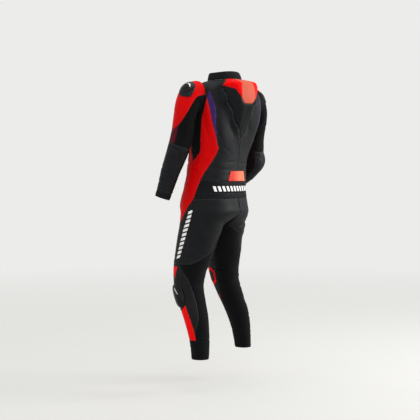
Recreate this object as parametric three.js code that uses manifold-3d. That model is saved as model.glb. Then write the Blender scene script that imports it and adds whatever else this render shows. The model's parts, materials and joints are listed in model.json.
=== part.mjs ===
// A motorcycle race suit, one piece, standing as it is worn: cloth and leather panels around an open hollow.
// Millimetres, +Z up, the wearer faces -Y and the wearer's left is +X.
// The origin is the middle of the shoulder line, where the wearer's shoulders carry the suit.
// The tables below give heights above the sole of the foot; the finished group is lowered by shoulderHeight.
import * as THREE from "three";
import { mergeVertices } from "three/addons/utils/BufferGeometryUtils.js";
import Module from "manifold-3d";

const wasm = await Module();
wasm.setup();

const shoulderHeight = 1470;
const clothWall = 2.4; // leather with its lining
const seamGap = 0.4; // between two panels that are sewn together
const waistSeamHeight = 915; // where the jacket half meets the trouser half

const degree = Math.PI / 180;
const V = (x, y, z) => new THREE.Vector3(x, y, z);

// Smooth interpolation through a table: each row is {at, ...columns}, and the result has the same columns.
function tableAt(rows, at, column) {
  const n = rows.length;
  if (at <= rows[0].at) return rows[0][column];
  if (at >= rows[n - 1].at) return rows[n - 1][column];
  let k = 0;
  while (rows[k + 1].at < at) k++;
  const slope = (i) => {
    const a = rows[Math.max(i - 1, 0)];
    const b = rows[Math.min(i + 1, n - 1)];
    return (b[column] - a[column]) / (b.at - a.at);
  };
  const [p, q] = [rows[k], rows[k + 1]];
  const span = q.at - p.at;
  const t = (at - p.at) / span;
  const [t2, t3] = [t * t, t * t * t];
  return (2 * t3 - 3 * t2 + 1) * p[column] + (t3 - 2 * t2 + t) * span * slope(k)
    + (3 * t2 - 2 * t3) * q[column] + (t3 - t2) * span * slope(k + 1);
}

// A form is lofted through sections; each section gives a point for a share u of the way round.
function loft(sections, pointOf) {
  return (u, s) => {
    const rows = sections.map((row) => {
      const p = pointOf(row, u);
      return { at: row.at, x: p.x, y: p.y, z: p.z };
    });
    return V(tableAt(rows, s, "x"), tableAt(rows, s, "y"), tableAt(rows, s, "z"));
  };
}

// Torso sections, at = height of the section at the sides. midX, midY: its middle. turn: degrees to the left.
// side, front, back: half sizes. risesBack and dropsFront: how far the section leaves its height there.
// hump and humpSide: how far the moulded hump stands out and its half width at its foot.
const torsoSections = [
  { at: 915, midX: 27, midY: -48, turn: 9, side: 188, front: 122, back: 142, risesBack: 0, dropsFront: 0, full: 0.07 },
  { at: 960, midX: 25, midY: -44, turn: 9, side: 181, front: 114, back: 134, risesBack: 0, dropsFront: 0, full: 0.07 },
  { at: 1030, midX: 20, midY: -36, turn: 8, side: 172, front: 114, back: 124, risesBack: 0, dropsFront: 0, full: 0.07 },
  { at: 1110, midX: 13, midY: -26, turn: 6, side: 166, front: 118, back: 119, risesBack: 0, dropsFront: 0, full: 0.06 },
  { at: 1200, midX: 7, midY: -14, turn: 1, side: 172, front: 122, back: 120, risesBack: 0, dropsFront: 0, full: 0.06 },
  { at: 1290, midX: 2, midY: -5, turn: -6, side: 184, front: 128, back: 122, risesBack: 0, dropsFront: 0, full: 0.06 },
  { at: 1370, midX: 0, midY: 0, turn: -10, side: 188, front: 120, back: 124, risesBack: 0, dropsFront: 0, full: 0.05 },
  { at: 1430, midX: 0, midY: 0, turn: -10, side: 176, front: 100, back: 112, risesBack: 8, dropsFront: -8, full: 0.04 },
  { at: 1462, midX: 0, midY: -2, turn: -10, side: 142, front: 82, back: 92, risesBack: 7, dropsFront: -16, full: 0.02 },
  { at: 1482, midX: 0, midY: -4, turn: -10, side: 86, front: 66, back: 66, risesBack: 7, dropsFront: -28, full: 0 },
];

const humpShape = [
  { at: 1190, out: 0, wide: 12 },
  { at: 1235, out: 12, wide: 28 },
  { at: 1275, out: 28, wide: 44 },
  { at: 1320, out: 44, wide: 62 },
  { at: 1375, out: 60, wide: 84 },
  { at: 1420, out: 68, wide: 98 },
  { at: 1450, out: 71, wide: 106 },
  { at: 1466, out: 70, wide: 106 },
  { at: 1482, out: 22, wide: 100 },
];

// How far the shoulder blades stand out, between the hump and the armholes.
const bladeShape = [
  { at: 1130, out: 0 },
  { at: 1170, out: 6 },
  { at: 1210, out: 12 },
  { at: 1300, out: 16 },
  { at: 1380, out: 12 },
  { at: 1440, out: 5 },
  { at: 1470, out: 0 },
];

const turned = (p, degrees) => p.applyAxisAngle(V(0, 0, 1), degrees * degree);
const smooth = (t) => { const c = Math.min(Math.max(t, 0), 1); return c * c * (3 - 2 * c); };

function ovalPoint(row, angle) {
  const full = 1 + row.full * Math.sin(2 * angle) ** 2;
  const depth = Math.cos(angle) > 0 ? row.back : row.front;
  return V(row.side * Math.sin(angle) * full, depth * Math.cos(angle) * full, 0);
}

function torsoPoint(row, u) {
  const angle = 2 * Math.PI * u;
  const p = ovalPoint(row, angle);
  const lift = Math.cos(angle) > 0 ? row.risesBack : row.dropsFront;
  const a = Math.abs(u);
  const blade = tableAt(bladeShape, row.at, "out") * smooth((a - 0.04) / 0.07) * smooth((0.185 - a) / 0.05);
  p.multiplyScalar(1 + blade / Math.hypot(p.x, p.y));
  p.z = row.at + lift * Math.cos(angle) ** 2;
  if (Math.cos(angle) > 0) {
    const wide = tableAt(humpShape, row.at, "wide");
    const out = tableAt(humpShape, row.at, "out");
    const flat = 0.6;
    const t = Math.min(Math.max((Math.abs(p.x) / wide - flat) / (1 - flat), 0), 1);
    p.y += out * (1 - 0.6 * t - 0.4 * smooth(t));
  }
  turned(p, row.turn);
  return p.add(V(row.midX, row.midY, 0));
}

// Leg sections. Above the crotch a section is half of the pelvis; below it a closed oval of the thigh and shin.
// u runs from the centre front round the outside (u = outerShare is the centre back) and back along the inside.
const outerShare = 0.75;
const pelvisSections = [
  { at: 915, midX: 27, midY: -48, turn: 9, side: 188, front: 122, back: 142, full: 0.07 },
  { at: 880, midX: 28, midY: -50, turn: 9.5, side: 192, front: 126, back: 150, full: 0.07 },
  { at: 842, midX: 28, midY: -50, turn: 10, side: 194, front: 120, back: 152, full: 0.08 },
];
// Thigh and shin: mid of the section, its half sizes to the outside, inside, front and back, its turn and the corner
// angle where the inner part begins.
const leftLegSections = [
  { at: 775, midX: 121, midY: -44, turn: 12, out: 98, inside: 92, front: 106, back: 114, corner: 50 },
  { at: 715, midX: 133, midY: -48, turn: 13, out: 90, inside: 84, front: 106, back: 97, corner: 48 },
  { at: 650, midX: 146, midY: -54, turn: 14, out: 80, inside: 76, front: 104, back: 86, corner: 46 },
  { at: 590, midX: 158, midY: -62, turn: 15, out: 72, inside: 68, front: 98, back: 77, corner: 44 },
  { at: 530, midX: 170, midY: -67, turn: 16, out: 66, inside: 62, front: 84, back: 70, corner: 42 },
  { at: 480, midX: 178, midY: -60, turn: 17, out: 63, inside: 58, front: 78, back: 65, corner: 40 },
  { at: 420, midX: 186, midY: -42, turn: 18, out: 61, inside: 56, front: 68, back: 66, corner: 40 },
  { at: 350, midX: 195, midY: -14, turn: 18, out: 57, inside: 52, front: 56, back: 64, corner: 40 },
  { at: 265, midX: 202, midY: 14, turn: 18, out: 48, inside: 46, front: 48, back: 51, corner: 40 },
  { at: 200, midX: 204, midY: 24, turn: 18, out: 42, inside: 41, front: 43, back: 43, corner: 40 },
  { at: 160, midX: 205, midY: 26, turn: 18, out: 40, inside: 39, front: 41, back: 41, corner: 40 },
];
const rightLegSections = [
  { at: 775, midX: -65, midY: -62, turn: 8, out: 98, inside: 92, front: 106, back: 114, corner: 50 },
  { at: 715, midX: -77, midY: -70, turn: 7, out: 90, inside: 84, front: 106, back: 97, corner: 48 },
  { at: 650, midX: -92, midY: -78, turn: 5, out: 80, inside: 76, front: 104, back: 88, corner: 46 },
  { at: 590, midX: -106, midY: -88, turn: 3, out: 72, inside: 68, front: 98, back: 78, corner: 44 },
  { at: 530, midX: -118, midY: -92, turn: 1, out: 66, inside: 62, front: 84, back: 70, corner: 42 },
  { at: 480, midX: -128, midY: -88, turn: 0, out: 63, inside: 58, front: 78, back: 66, corner: 40 },
  { at: 420, midX: -142, midY: -74, turn: -2, out: 61, inside: 58, front: 68, back: 66, corner: 40 },
  { at: 350, midX: -160, midY: -56, turn: -2, out: 57, inside: 56, front: 56, back: 63, corner: 40 },
  { at: 265, midX: -178, midY: -42, turn: -2, out: 48, inside: 46, front: 48, back: 50, corner: 40 },
  { at: 200, midX: -186, midY: -36, turn: -2, out: 42, inside: 41, front: 43, back: 43, corner: 40 },
  { at: 160, midX: -189, midY: -34, turn: -2, out: 40, inside: 39, front: 41, back: 41, corner: 40 },
];

function legPoint(side) {
  return (row, share) => {
    const u = share >= 0 && share <= 1 ? share : share - Math.floor(share);
    let p;
    if (row.corner === undefined) {
      if (u <= outerShare) {
        p = ovalPoint(row, Math.PI * (1 - u / outerShare));
      } else {
        const inner = (u - outerShare) / (1 - outerShare);
        p = V(0, row.back - inner * (row.back + row.front), 0);
      }
    } else {
      const angle = u <= outerShare
        ? -row.corner + (u / outerShare) * (180 + 2 * row.corner)
        : 180 + row.corner + ((u - outerShare) / (1 - outerShare)) * (180 - 2 * row.corner);
      const [sin, cos] = [Math.sin(angle * degree), Math.cos(angle * degree)];
      p = V((sin > 0 ? row.out : row.inside) * sin, -(cos > 0 ? row.front : row.back) * cos, 0);
    }
    p.x *= side;
    p.z = row.at;
    turned(p, row.turn);
    return p.add(V(row.midX, row.midY, 0));
  };
}
const byHeight = (rows) => [...rows].sort((a, b) => a.at - b.at);
function normalOf(form, sign) {
  return (u, s) => {
    const [du, ds] = [0.004, 2.5];
    const along = form(u + du, s).sub(form(u - du, s));
    const up = form(u, s + ds).sub(form(u, s - ds));
    return along.cross(up).normalize().multiplyScalar(sign);
  };
}

// The largest folds: soft troughs (depth > 0) and ridges (depth < 0) at a spot of a form, in millimetres.
// halfU, halfS: how far they reach; lean: how much higher they lie for each whole u.
const torsoFolds = [
  { u: 0.17, s: 1062, halfU: 0.09, halfS: 26, depth: 4.5, lean: 260 },
  { u: 0.2, s: 1012, halfU: 0.08, halfS: 22, depth: -2.5, lean: 200 },
  { u: 0.3, s: 1100, halfU: 0.08, halfS: 30, depth: 3.5, lean: 150 },
  { u: 0.42, s: 1020, halfU: 0.1, halfS: 28, depth: 4, lean: 0 },
  { u: 0.14, s: 1345, halfU: 0.025, halfS: 70, depth: 2.5, lean: 0 },
];
const legFolds = [
  { u: 0.63, s: 790, halfU: 0.13, halfS: 26, depth: 8, lean: -120 },
  { u: 0.5, s: 742, halfU: 0.12, halfS: 24, depth: -2.5, lean: -60 },
  { u: 0.1, s: 822, halfU: 0.12, halfS: 28, depth: 6, lean: 220 },
  { u: 0.62, s: 560, halfU: 0.14, halfS: 22, depth: 3.5, lean: 40 },
  { u: 0.6, s: 502, halfU: 0.15, halfS: 22, depth: 4.5, lean: -40 },
  { u: 0.55, s: 400, halfU: 0.12, halfS: 26, depth: 2.5, lean: 60 },
];
const sleeveFolds = [
  { u: 0.8, s: 420, halfU: 0.14, halfS: 22, depth: 4.5, lean: 0 },
  { u: 0.85, s: 378, halfU: 0.12, halfS: 20, depth: 2.5, lean: 40 },
  { u: 0.22, s: 262, halfU: 0.1, halfS: 26, depth: 3, lean: -120 },
  { u: 0.25, s: 120, halfU: 0.1, halfS: 34, depth: 3.5, lean: 180 },
];
const bump = (t) => (Math.abs(t) < 1 ? (1 - t * t) ** 2 : 0);
function folded(form, sign, folds) {
  const normal = normalOf(form, sign);
  const bothSides = folds === torsoFolds;
  return (u, s) => {
    const at = bothSides ? Math.abs(u) : u;
    let depth = 0;
    for (const f of folds) {
      const du = at - f.u;
      depth += f.depth * bump(du / f.halfU) * bump((s - f.s - f.lean * du) / f.halfS);
    }
    return depth === 0 ? form(u, s) : form(u, s).addScaledVector(normal(u, s), -depth);
  };
}

// From the top of the thigh upwards neither half crosses the middle plane of the seat.
const seatPlane = { x: 28, y: -50, turn: 10, from: 760, clear: 0.2 };
function legForm(sections, side) {
  const form = folded(loft(byHeight([...pelvisSections, ...sections]), legPoint(side)), side, legFolds);
  return (u, s) => {
    const p = form(u, s);
    if (s < seatPlane.from) return p;
    const q = turned(p.clone().sub(V(seatPlane.x, seatPlane.y, 0)), -seatPlane.turn);
    if (side * q.x >= seatPlane.clear) return p;
    q.x = side * seatPlane.clear;
    return turned(q, seatPlane.turn).add(V(seatPlane.x, seatPlane.y, 0));
  };
}
const leftLegForm = legForm(leftLegSections, 1);
const rightLegForm = legForm(rightLegSections, -1);

const torsoForm = folded(loft(torsoSections, torsoPoint), -1, torsoFolds);

// Sleeves. Sections are ovals round the arm, at = distance along the sleeve. The first is the armhole itself.
// The sleeve head is a little smaller than the armhole, by the share inside, so that the two never meet.
const armhole = { u: 0.25, height: 1392, halfTall: 72, halfShare: 0.082, inside: 0.984 };
const armholePoint = (side, u) => {
  const a = 2 * Math.PI * u;
  const across = armhole.halfShare * armhole.inside * Math.sin(a);
  return torsoForm(side * (armhole.u - across), armhole.height - armhole.halfTall * armhole.inside * Math.cos(a));
};
// mid: the middle of the section. lean: degrees from hanging straight down to standing straight out.
// swing: degrees the arm swings forward. wide, near, deep: half sizes away from the body, to the body, fore and aft.
const leftSleeveSections = [
  { at: 33, mid: [180, -29, 1397], lean: 96, swing: 0, wide: 77, near: 78, deep: 63 },
  { at: 70, mid: [199, -31, 1389], lean: 82, swing: 1, wide: 77, near: 72, deep: 63 },
  { at: 104, mid: [214, -34, 1377], lean: 68, swing: 2, wide: 74, near: 65, deep: 63 },
  { at: 171, mid: [228, -39, 1344], lean: 43, swing: 5, wide: 60, near: 49, deep: 61 },
  { at: 243, mid: [232, -46, 1298], lean: 16, swing: 8, wide: 52, near: 40, deep: 58 },
  { at: 325, mid: [236, -60, 1216], lean: 9, swing: 10, wide: 52, near: 48, deep: 55 },
  { at: 385, mid: [245, -73, 1158], lean: 9, swing: 14, wide: 51, near: 50, deep: 53 },
  { at: 445, mid: [255, -90, 1100], lean: 10, swing: 16, wide: 48, near: 48, deep: 50 },
  { at: 510, mid: [266, -110, 1038], lean: 10, swing: 16, wide: 43, near: 43, deep: 45 },
  { at: 575, mid: [276, -127, 974], lean: 10, swing: 16, wide: 38, near: 38, deep: 40 },
  { at: 635, mid: [286, -143, 916], lean: 10, swing: 16, wide: 36, near: 36, deep: 37 },
];
const rightSleeveSections = [
  { at: 33, mid: [-180, 29, 1397], lean: 96, swing: 0, wide: 66, near: 78, deep: 63 },
  { at: 70, mid: [-199, 27, 1389], lean: 82, swing: 2, wide: 58, near: 72, deep: 61 },
  { at: 104, mid: [-213, 24, 1377], lean: 68, swing: 5, wide: 53, near: 65, deep: 60 },
  { at: 171, mid: [-227, 20, 1344], lean: 43, swing: 12, wide: 51, near: 49, deep: 60 },
  { at: 243, mid: [-230, 14, 1298], lean: 16, swing: 15, wide: 52, near: 40, deep: 58 },
  { at: 325, mid: [-236, -3, 1216], lean: 9, swing: 15, wide: 50, near: 48, deep: 55 },
  { at: 385, mid: [-243, -8, 1156], lean: 7, swing: 22, wide: 50, near: 50, deep: 54 },
  { at: 445, mid: [-246, -4, 1104], lean: 2, swing: 42, wide: 48, near: 48, deep: 54 },
  { at: 510, mid: [-243, -42, 1046], lean: -5, swing: 52, wide: 43, near: 43, deep: 46 },
  { at: 575, mid: [-236, -92, 1005], lean: -9, swing: 53, wide: 38, near: 38, deep: 40 },
  { at: 635, mid: [-228, -140, 968], lean: -10, swing: 53, wide: 36, near: 36, deep: 37 },
];
function sleevePoint(side) {
  return (row, u) => {
    if (row.at === 0) return armholePoint(side, u);
    const a = 2 * Math.PI * u;
    const out = V(side, 0, 0);
    const forward = V(0, -1, 0);
    const turn = new THREE.Quaternion()
      .setFromAxisAngle(V(1, 0, 0), -row.swing * degree)
      .multiply(new THREE.Quaternion().setFromAxisAngle(V(0, 1, 0), -side * row.lean * degree));
    out.applyQuaternion(turn);
    forward.applyQuaternion(turn);
    return V(...row.mid)
      .addScaledVector(out, -Math.cos(a) * (Math.cos(a) > 0 ? row.near : row.wide))
      .addScaledVector(forward, -Math.sin(a) * row.deep);
  };
}
const leftSleeveForm = folded(loft([{ at: 0 }, ...leftSleeveSections], sleevePoint(1)), 1, sleeveFolds);
const rightSleeveForm = folded(loft([{ at: 0 }, ...rightSleeveSections], sleevePoint(-1)), -1, sleeveFolds);
// end of the forms

// A line of a seam through the pattern: rows of {at, ...}, read by tableAt.
const seamLine = (column, rows) => (at) => tableAt(rows.map(([a, b]) => ({ at: a, [column]: b })), at, column);

// Torso seams as the share a = |u| of the way round from the centre back, for each height s. Both sides are alike.
const humpFoot = seamLine("a", [
  [1190, 0.002], [1228, 0.024], [1266, 0.041], [1310, 0.053], [1346, 0.062], [1401, 0.077], [1436, 0.093], [1446, 0.099], [1482, 0.1],
]);
const purpleInner = seamLine("a", [[1168, 0.1305], [1247, 0.125], [1288, 0.118], [1340, 0.115], [1376, 0.122], [1426, 0.1455]]);
const flashInner = seamLine("a", [
  [915, 0.24], [954, 0.232], [983, 0.222], [1036, 0.197], [1083, 0.165], [1125, 0.138], [1145, 0.1285], [1152, 0.1255],
  [1168, 0.1305], [1200, 0.133], [1246, 0.136], [1329, 0.14], [1379, 0.15], [1393, 0.154], [1426, 0.1455], [1482, 0.1455],
]);
const flashOuter = seamLine("a", [
  [915, 0.3], [954, 0.307], [1073, 0.32], [1092, 0.304], [1112, 0.27], [1134, 0.243], [1201, 0.232], [1286, 0.202], [1340, 0.176], [1393, 0.154],
]);
const sideInset = seamLine("a", [[1092, 0.304], [1134, 0.316], [1185, 0.325]]);
const frontEdge = seamLine("a", [[915, 0.37], [954, 0.372], [1073, 0.365], [1120, 0.35], [1185, 0.325], [1250, 0.306], [1345, 0.28]]);
// The lower edge of the hump's red cap, as the height for each a.
const capEdge = seamLine("s", [
  [0, 1364], [0.019, 1365], [0.028, 1373], [0.037, 1387], [0.052, 1412], [0.06, 1424], [0.066, 1429], [0.087, 1441], [0.11, 1450],
]);
const waist = { stripTop: 941, bandTop: 996 };

// Leg seams: u for each height s, or the height for each u.
const inseam = seamLine("u", [
  [160, 0.05], [262, 0.05], [340, 0.03], [380, 0], [410, -0.05], [440, -0.09], [470, -0.11], [560, -0.112], [640, -0.112], [700, -0.106], [775, -0.04], [842, 0], [915, 0],
]);
const crotchLine = (u) => 842 - 44 * Math.sin(Math.PI * Math.min(Math.max((u - outerShare) / (1 - outerShare), 0), 1)) ** 0.7;
const seatInner = seamLine("u", [[590, 0.56], [654, 0.602], [680, 0.622], [715, 0.634], [745, 0.672], [785, 0.75], [915, 0.75]]);
const thighHem = seamLine("s", [[-0.12, 606], [0, 596], [0.1, 588], [0.218, 587], [0.412, 600], [0.544, 632], [0.602, 654], [0.64, 690]]);
const kneeOuter = seamLine("u", [[250, 0.385], [309, 0.38], [413, 0.345], [504, 0.335], [560, 0.312], [600, 0.3]]);
const calfEdge = seamLine("u", [[262, 0.385], [292, 0.412], [337, 0.474], [380, 0.49], [436, 0.492], [515, 0.442], [560, 0.362], [600, 0.3]]);
const shinTop = seamLine("s", [[-0.12, 440], [-0.09, 436], [0.05, 378], [0.188, 378], [0.3, 398], [0.345, 413], [0.4, 430]]);
const accent = { top: 588, tip: 530 };
const accentFront = seamLine("u", [[530, 0.24], [588, 0.12]]);
const accentBack = seamLine("u", [[530, 0.24], [588, 0.285]]);
const tailBack = seamLine("u", [[779, 0.2], [810, 0.247], [859, 0.311], [907, 0.382], [915, 0.39]]);
const tailFront = seamLine("u", [[779, 0.2], [850, 0.185], [915, 0.195]]);
const hems = { legCuff: 250, legEnd: 160, sleeveCuff: 605, sleeveEnd: 635 };

// Sleeve seams: u = 0 is the underarm, 0.25 the back, 0.5 the outside, 0.75 the front.
const underarm = 0.12;
const shoulderHem = seamLine("s", [
  [0.255, -10], [0.272, 60], [0.3, 110], [0.349, 198], [0.4, 248], [0.449, 280], [0.52, 302], [0.6, 315], [0.7, 318], [0.8, 306], [0.88, 288],
]);
const elbowFront = 0.47;
const elbowLow = seamLine("s", [[0.3, 380], [0.47, 376], [0.65, 372], [0.9, 362]]);

// Cuts the cells of a grid over (u, s) along the seams, which are functions that are zero on the seam.
// Edges are cut once and shared, so the cells always meet corner to corner. roundMm: millimetres for a whole u.
function cutPattern(us, ss, roundMm, seams) {
  const points = [];
  const fixed = [];
  const columns = us.length;
  ss.forEach((s) => us.forEach((u) => { points.push([u, s]); fixed.push(false); }));
  let cells = [];
  for (let j = 0; j + 1 < ss.length; j++) {
    for (let i = 0; i + 1 < columns; i++) {
      const a = j * columns + i;
      cells.push([a, a + 1, a + 1 + columns, a + columns]);
    }
  }
  const snapMm = 4.2;
  for (const { zero, within = () => true } of seams) {
    const slope = (u, s) => {
      const du = 0.5 / roundMm;
      return [(zero(u + du, s) - zero(u - du, s)), (zero(u, s + 0.5) - zero(u, s - 0.5))];
    };
    const value = points.map(([u, s]) => (within(u, s) ? zero(u, s) : null));
    points.forEach((p, i) => {
      if (value[i] === null) return;
      const [gu, gs] = slope(...p);
      const steep = Math.hypot(gu, gs) || 1e-9;
      const away = value[i] / steep;
      if (Math.abs(away) > snapMm) return;
      const edgeOfGrid = p[0] === us[0] || p[0] === us[columns - 1] || p[1] === ss[0] || p[1] === ss[ss.length - 1];
      if (fixed[i] || edgeOfGrid) {
        if (Math.abs(away) < snapMm * 0.45) value[i] = 0;
        return;
      }
      p[0] -= (away * gu) / steep / roundMm;
      p[1] -= (away * gs) / steep;
      value[i] = 0;
    });
    const cutAt = new Map();
    const onEdge = (a, b) => {
      const [va, vb] = [value[a], value[b]];
      if (va === null || vb === null || va * vb >= 0) return null;
      const key = Math.min(a, b) + "_" + Math.max(a, b);
      if (!cutAt.has(key)) {
        let [lo, hi] = va < 0 ? [points[a], points[b]] : [points[b], points[a]];
        for (let k = 0; k < 30; k++) {
          const mid = [(lo[0] + hi[0]) / 2, (lo[1] + hi[1]) / 2];
          if (zero(...mid) < 0) lo = mid; else hi = mid;
        }
        cutAt.set(key, points.length);
        points.push([...lo]);
        fixed.push(true);
      }
      return cutAt.get(key);
    };
    const rings = cells.map((ring) => ring.flatMap((a, k) => {
      const cut = onEdge(a, ring[(k + 1) % ring.length]);
      return cut === null ? [a] : [a, cut];
    }));
    const isOn = (i) => i >= value.length || value[i] === 0;
    cells = rings.flatMap((ring) => {
      const on = ring.map((i, k) => (isOn(i) ? k : -1)).filter((k) => k >= 0);
      if (on.length !== 2) return [ring];
      const [p, q] = on;
      if (q - p < 2 || q - p > ring.length - 2) return [ring];
      const halves = [ring.slice(p, q + 1), [...ring.slice(q), ...ring.slice(0, p + 1)]];
      const side = halves.map((half) => half.map((i) => (i < value.length ? value[i] : 0)).find((v) => v) ?? 0);
      return side[0] * side[1] < 0 ? halves : [ring];
    });
    value.forEach((v, i) => { if (v === 0) fixed[i] = true; });
  }
  return { points, cells, roundMm };
}

// Cuts one ring of corners into triangles, the best shaped first.
function triangles(ring, points, roundMm) {
  const left = [...ring];
  const made = [];
  const at = (i) => [points[i][0] * roundMm, points[i][1]];
  const quality = (a, b, c) => {
    const [p, q, r] = [at(a), at(b), at(c)];
    const area = (q[0] - p[0]) * (r[1] - p[1]) - (q[1] - p[1]) * (r[0] - p[0]);
    const longest = Math.max(Math.hypot(q[0] - p[0], q[1] - p[1]), Math.hypot(r[0] - q[0], r[1] - q[1]), Math.hypot(p[0] - r[0], p[1] - r[1]));
    return area / (longest * longest);
  };
  while (left.length > 3) {
    let best = 0;
    let score = -Infinity;
    for (let k = 0; k < left.length; k++) {
      const n = left.length;
      const rest = left.filter((_, m) => m !== k);
      const own = quality(left[(k + n - 1) % n], left[k], left[(k + 1) % n]);
      const other = rest.length === 3 ? quality(...rest) : 1;
      const worst = Math.min(own, other);
      if (worst > score) { score = worst; best = k; }
    }
    const n = left.length;
    made.push([left[(best + n - 1) % n], left[best], left[(best + 1) % n]]);
    left.splice(best, 1);
  }
  made.push(left);
  return made;
}

// Lays the cells of one panel on a form: an outer face, an inner face one wall below it, and the edges between.
function layPanel(pattern, cells, form, sign, { wall = clothWall, raise = 0, gap = () => seamGap / 2 } = {}) {
  const { points, roundMm } = pattern;
  const normal = normalOf(form, sign);
  const faces = cells.flatMap((ring) => triangles(ring, points, roundMm)).map((f) => (sign > 0 ? f : [f[2], f[1], f[0]]));
  const used = [...new Set(faces.flat())];
  const place = new Map(used.map((i) => [i, form(...points[i])]));
  const out = new Map(used.map((i) => [i, normal(...points[i])]));
  const edges = new Set(faces.flatMap(([a, b, c]) => [a + "_" + b, b + "_" + c, c + "_" + a]));
  const rim = [...edges].map((e) => e.split("_").map(Number)).filter(([a, b]) => !edges.has(b + "_" + a));
  const pull = new Map();
  for (const [a, b] of rim) {
    const along = place.get(b).clone().sub(place.get(a));
    for (const i of [a, b]) {
      const inward = out.get(i).clone().cross(along).normalize();
      pull.set(i, [...(pull.get(i) ?? []), inward]);
    }
  }
  for (const [i, ways] of pull) {
    const sum = ways.reduce((t, w) => t.add(w), V(0, 0, 0));
    const size = sum.length();
    if (size < 1e-6) continue;
    const mitre = Math.min(ways.length / size, 4);
    place.get(i).addScaledVector(sum.normalize(), gap(...points[i]) * mitre);
  }
  const corner = [];
  const outer = new Map();
  const inner = new Map();
  for (const i of used) {
    outer.set(i, corner.length / 3);
    corner.push(...place.get(i).clone().addScaledVector(out.get(i), raise).toArray());
    inner.set(i, corner.length / 3);
    corner.push(...place.get(i).clone().addScaledVector(out.get(i), raise - wall).toArray());
  }
  const index = faces.flatMap(([a, b, c]) => [outer.get(a), outer.get(b), outer.get(c), inner.get(c), inner.get(b), inner.get(a)]);
  for (const [a, b] of rim) {
    // the same diagonal whichever side of the seam the panel is on
    const [ao, ai, bo, bi] = [outer.get(a), inner.get(a), outer.get(b), inner.get(b)];
    index.push(...(a < b ? [ao, ai, bi, ao, bi, bo] : [ao, ai, bo, ai, bi, bo]));
  }
  const geometry = new THREE.BufferGeometry();
  geometry.setAttribute("position", new THREE.Float32BufferAttribute(corner, 3));
  geometry.setIndex(index);
  geometry.computeVertexNormals();
  return geometry;
}

// A shaped pad on a form. outline: corners round the middle, as shares of half; height: over the middle.
function pad(form, sign, { at, half, outline, height, edge = 1.6, base = 0.5, rings = 4, crown = 2.4, under = () => 0 }) {
  const normal = normalOf(form, sign);
  const corner = [];
  const put = (u, s, raise) => {
    corner.push(...form(u, s).addScaledVector(normal(u, s), raise).toArray());
    return corner.length / 3 - 1;
  };
  const n = outline.length;
  const low = [];
  const high = [];
  for (let k = 0; k <= rings; k++) {
    const r = k / rings;
    const spots = k === 0 ? [[0, 0]] : outline.map(([x, y]) => [x * r, y * r]);
    const rise = edge + (height - edge) * Math.sqrt(Math.max(1 - r ** crown, 0));
    low.push(spots.map(([x, y]) => put(at[0] + x * half[0], at[1] + y * half[1], base + under(r))));
    high.push(spots.map(([x, y]) => put(at[0] + x * half[0], at[1] + y * half[1], base + under(r) + rise)));
  }
  const index = [];
  const quad = (a, b, c, d) => index.push(a, b, c, a, c, d);
  for (let i = 0; i < n; i++) {
    const j = (i + 1) % n;
    index.push(high[0][0], high[1][i], high[1][j], low[0][0], low[1][j], low[1][i]);
    for (let k = 1; k < rings; k++) {
      quad(high[k][i], high[k + 1][i], high[k + 1][j], high[k][j]);
      quad(low[k][j], low[k + 1][j], low[k + 1][i], low[k][i]);
    }
    quad(high[rings][j], high[rings][i], low[rings][i], low[rings][j]);
  }
  const geometry = new THREE.BufferGeometry();
  geometry.setAttribute("position", new THREE.Float32BufferAttribute(corner, 3));
  geometry.setIndex(sign > 0 ? index : index.reverse());
  geometry.computeVertexNormals();
  return geometry;
}
const oval = (steps, power) => Array.from({ length: steps }, (_, k) => {
  const a = (2 * Math.PI * k) / steps;
  const [c, s] = [Math.cos(a), Math.sin(a)];
  const r = (Math.abs(c) ** power + Math.abs(s) ** power) ** (-1 / power);
  return [c * r, s * r];
});
const polygon = (corners, cuts) => corners.flatMap((p, k) => {
  const q = corners[(k + 1) % corners.length];
  return Array.from({ length: cuts }, (_, m) => [p[0] + (q[0] - p[0]) * m / cuts, p[1] + (q[1] - p[1]) * m / cuts]);
});

const looks = {
  leather: { color: 0x26272b, roughness: 0.55 },
  stretch: { color: 0x17181b, roughness: 0.85 },
  band: { color: 0x1d1e21, roughness: 0.7 },
  red: { color: 0xe8202e, roughness: 0.5 },
  coral: { color: 0xe8432f, roughness: 0.5 },
  crimson: { color: 0x4a0f1c, roughness: 0.85 },
  purple: { color: 0x3b2a6e, roughness: 0.5 },
  grey: { color: 0x3c3e43, roughness: 0.6 },
  black: { color: 0x0c0c0d, roughness: 0.3 },
  metal: { color: 0xb9bcc2, roughness: 0.3, metalness: 0.9 },
};
const suit = new THREE.Group();
suit.position.set(0, 0, -shoulderHeight);
function add(name, geometry, look) {
  const material = new THREE.MeshStandardMaterial({ metalness: 0, ...looks[look] });
  const mesh = new THREE.Mesh(geometry, material);
  mesh.name = name;
  suit.add(mesh);
  return mesh;
}

// Lays every panel of a pattern: label names the panel that a spot belongs to, or null where there is no cloth.
function layPattern(pattern, label, form, sign, panels, options = {}) {
  const sorted = {};
  for (const ring of pattern.cells) {
    const middle = [0, 1].map((c) => ring.reduce((t, i) => t + pattern.points[i][c], 0) / ring.length);
    const name = label(...middle);
    if (name) (sorted[name] ??= []).push(ring);
  }
  for (const [name, look] of Object.entries(panels)) {
    if (!sorted[name]) throw new Error("no cells for " + name);
    add(name, layPanel(pattern, sorted[name], form, sign, options), look);
  }
  for (const name of Object.keys(sorted)) if (!(name in panels)) throw new Error("no panel " + name);
}

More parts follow.
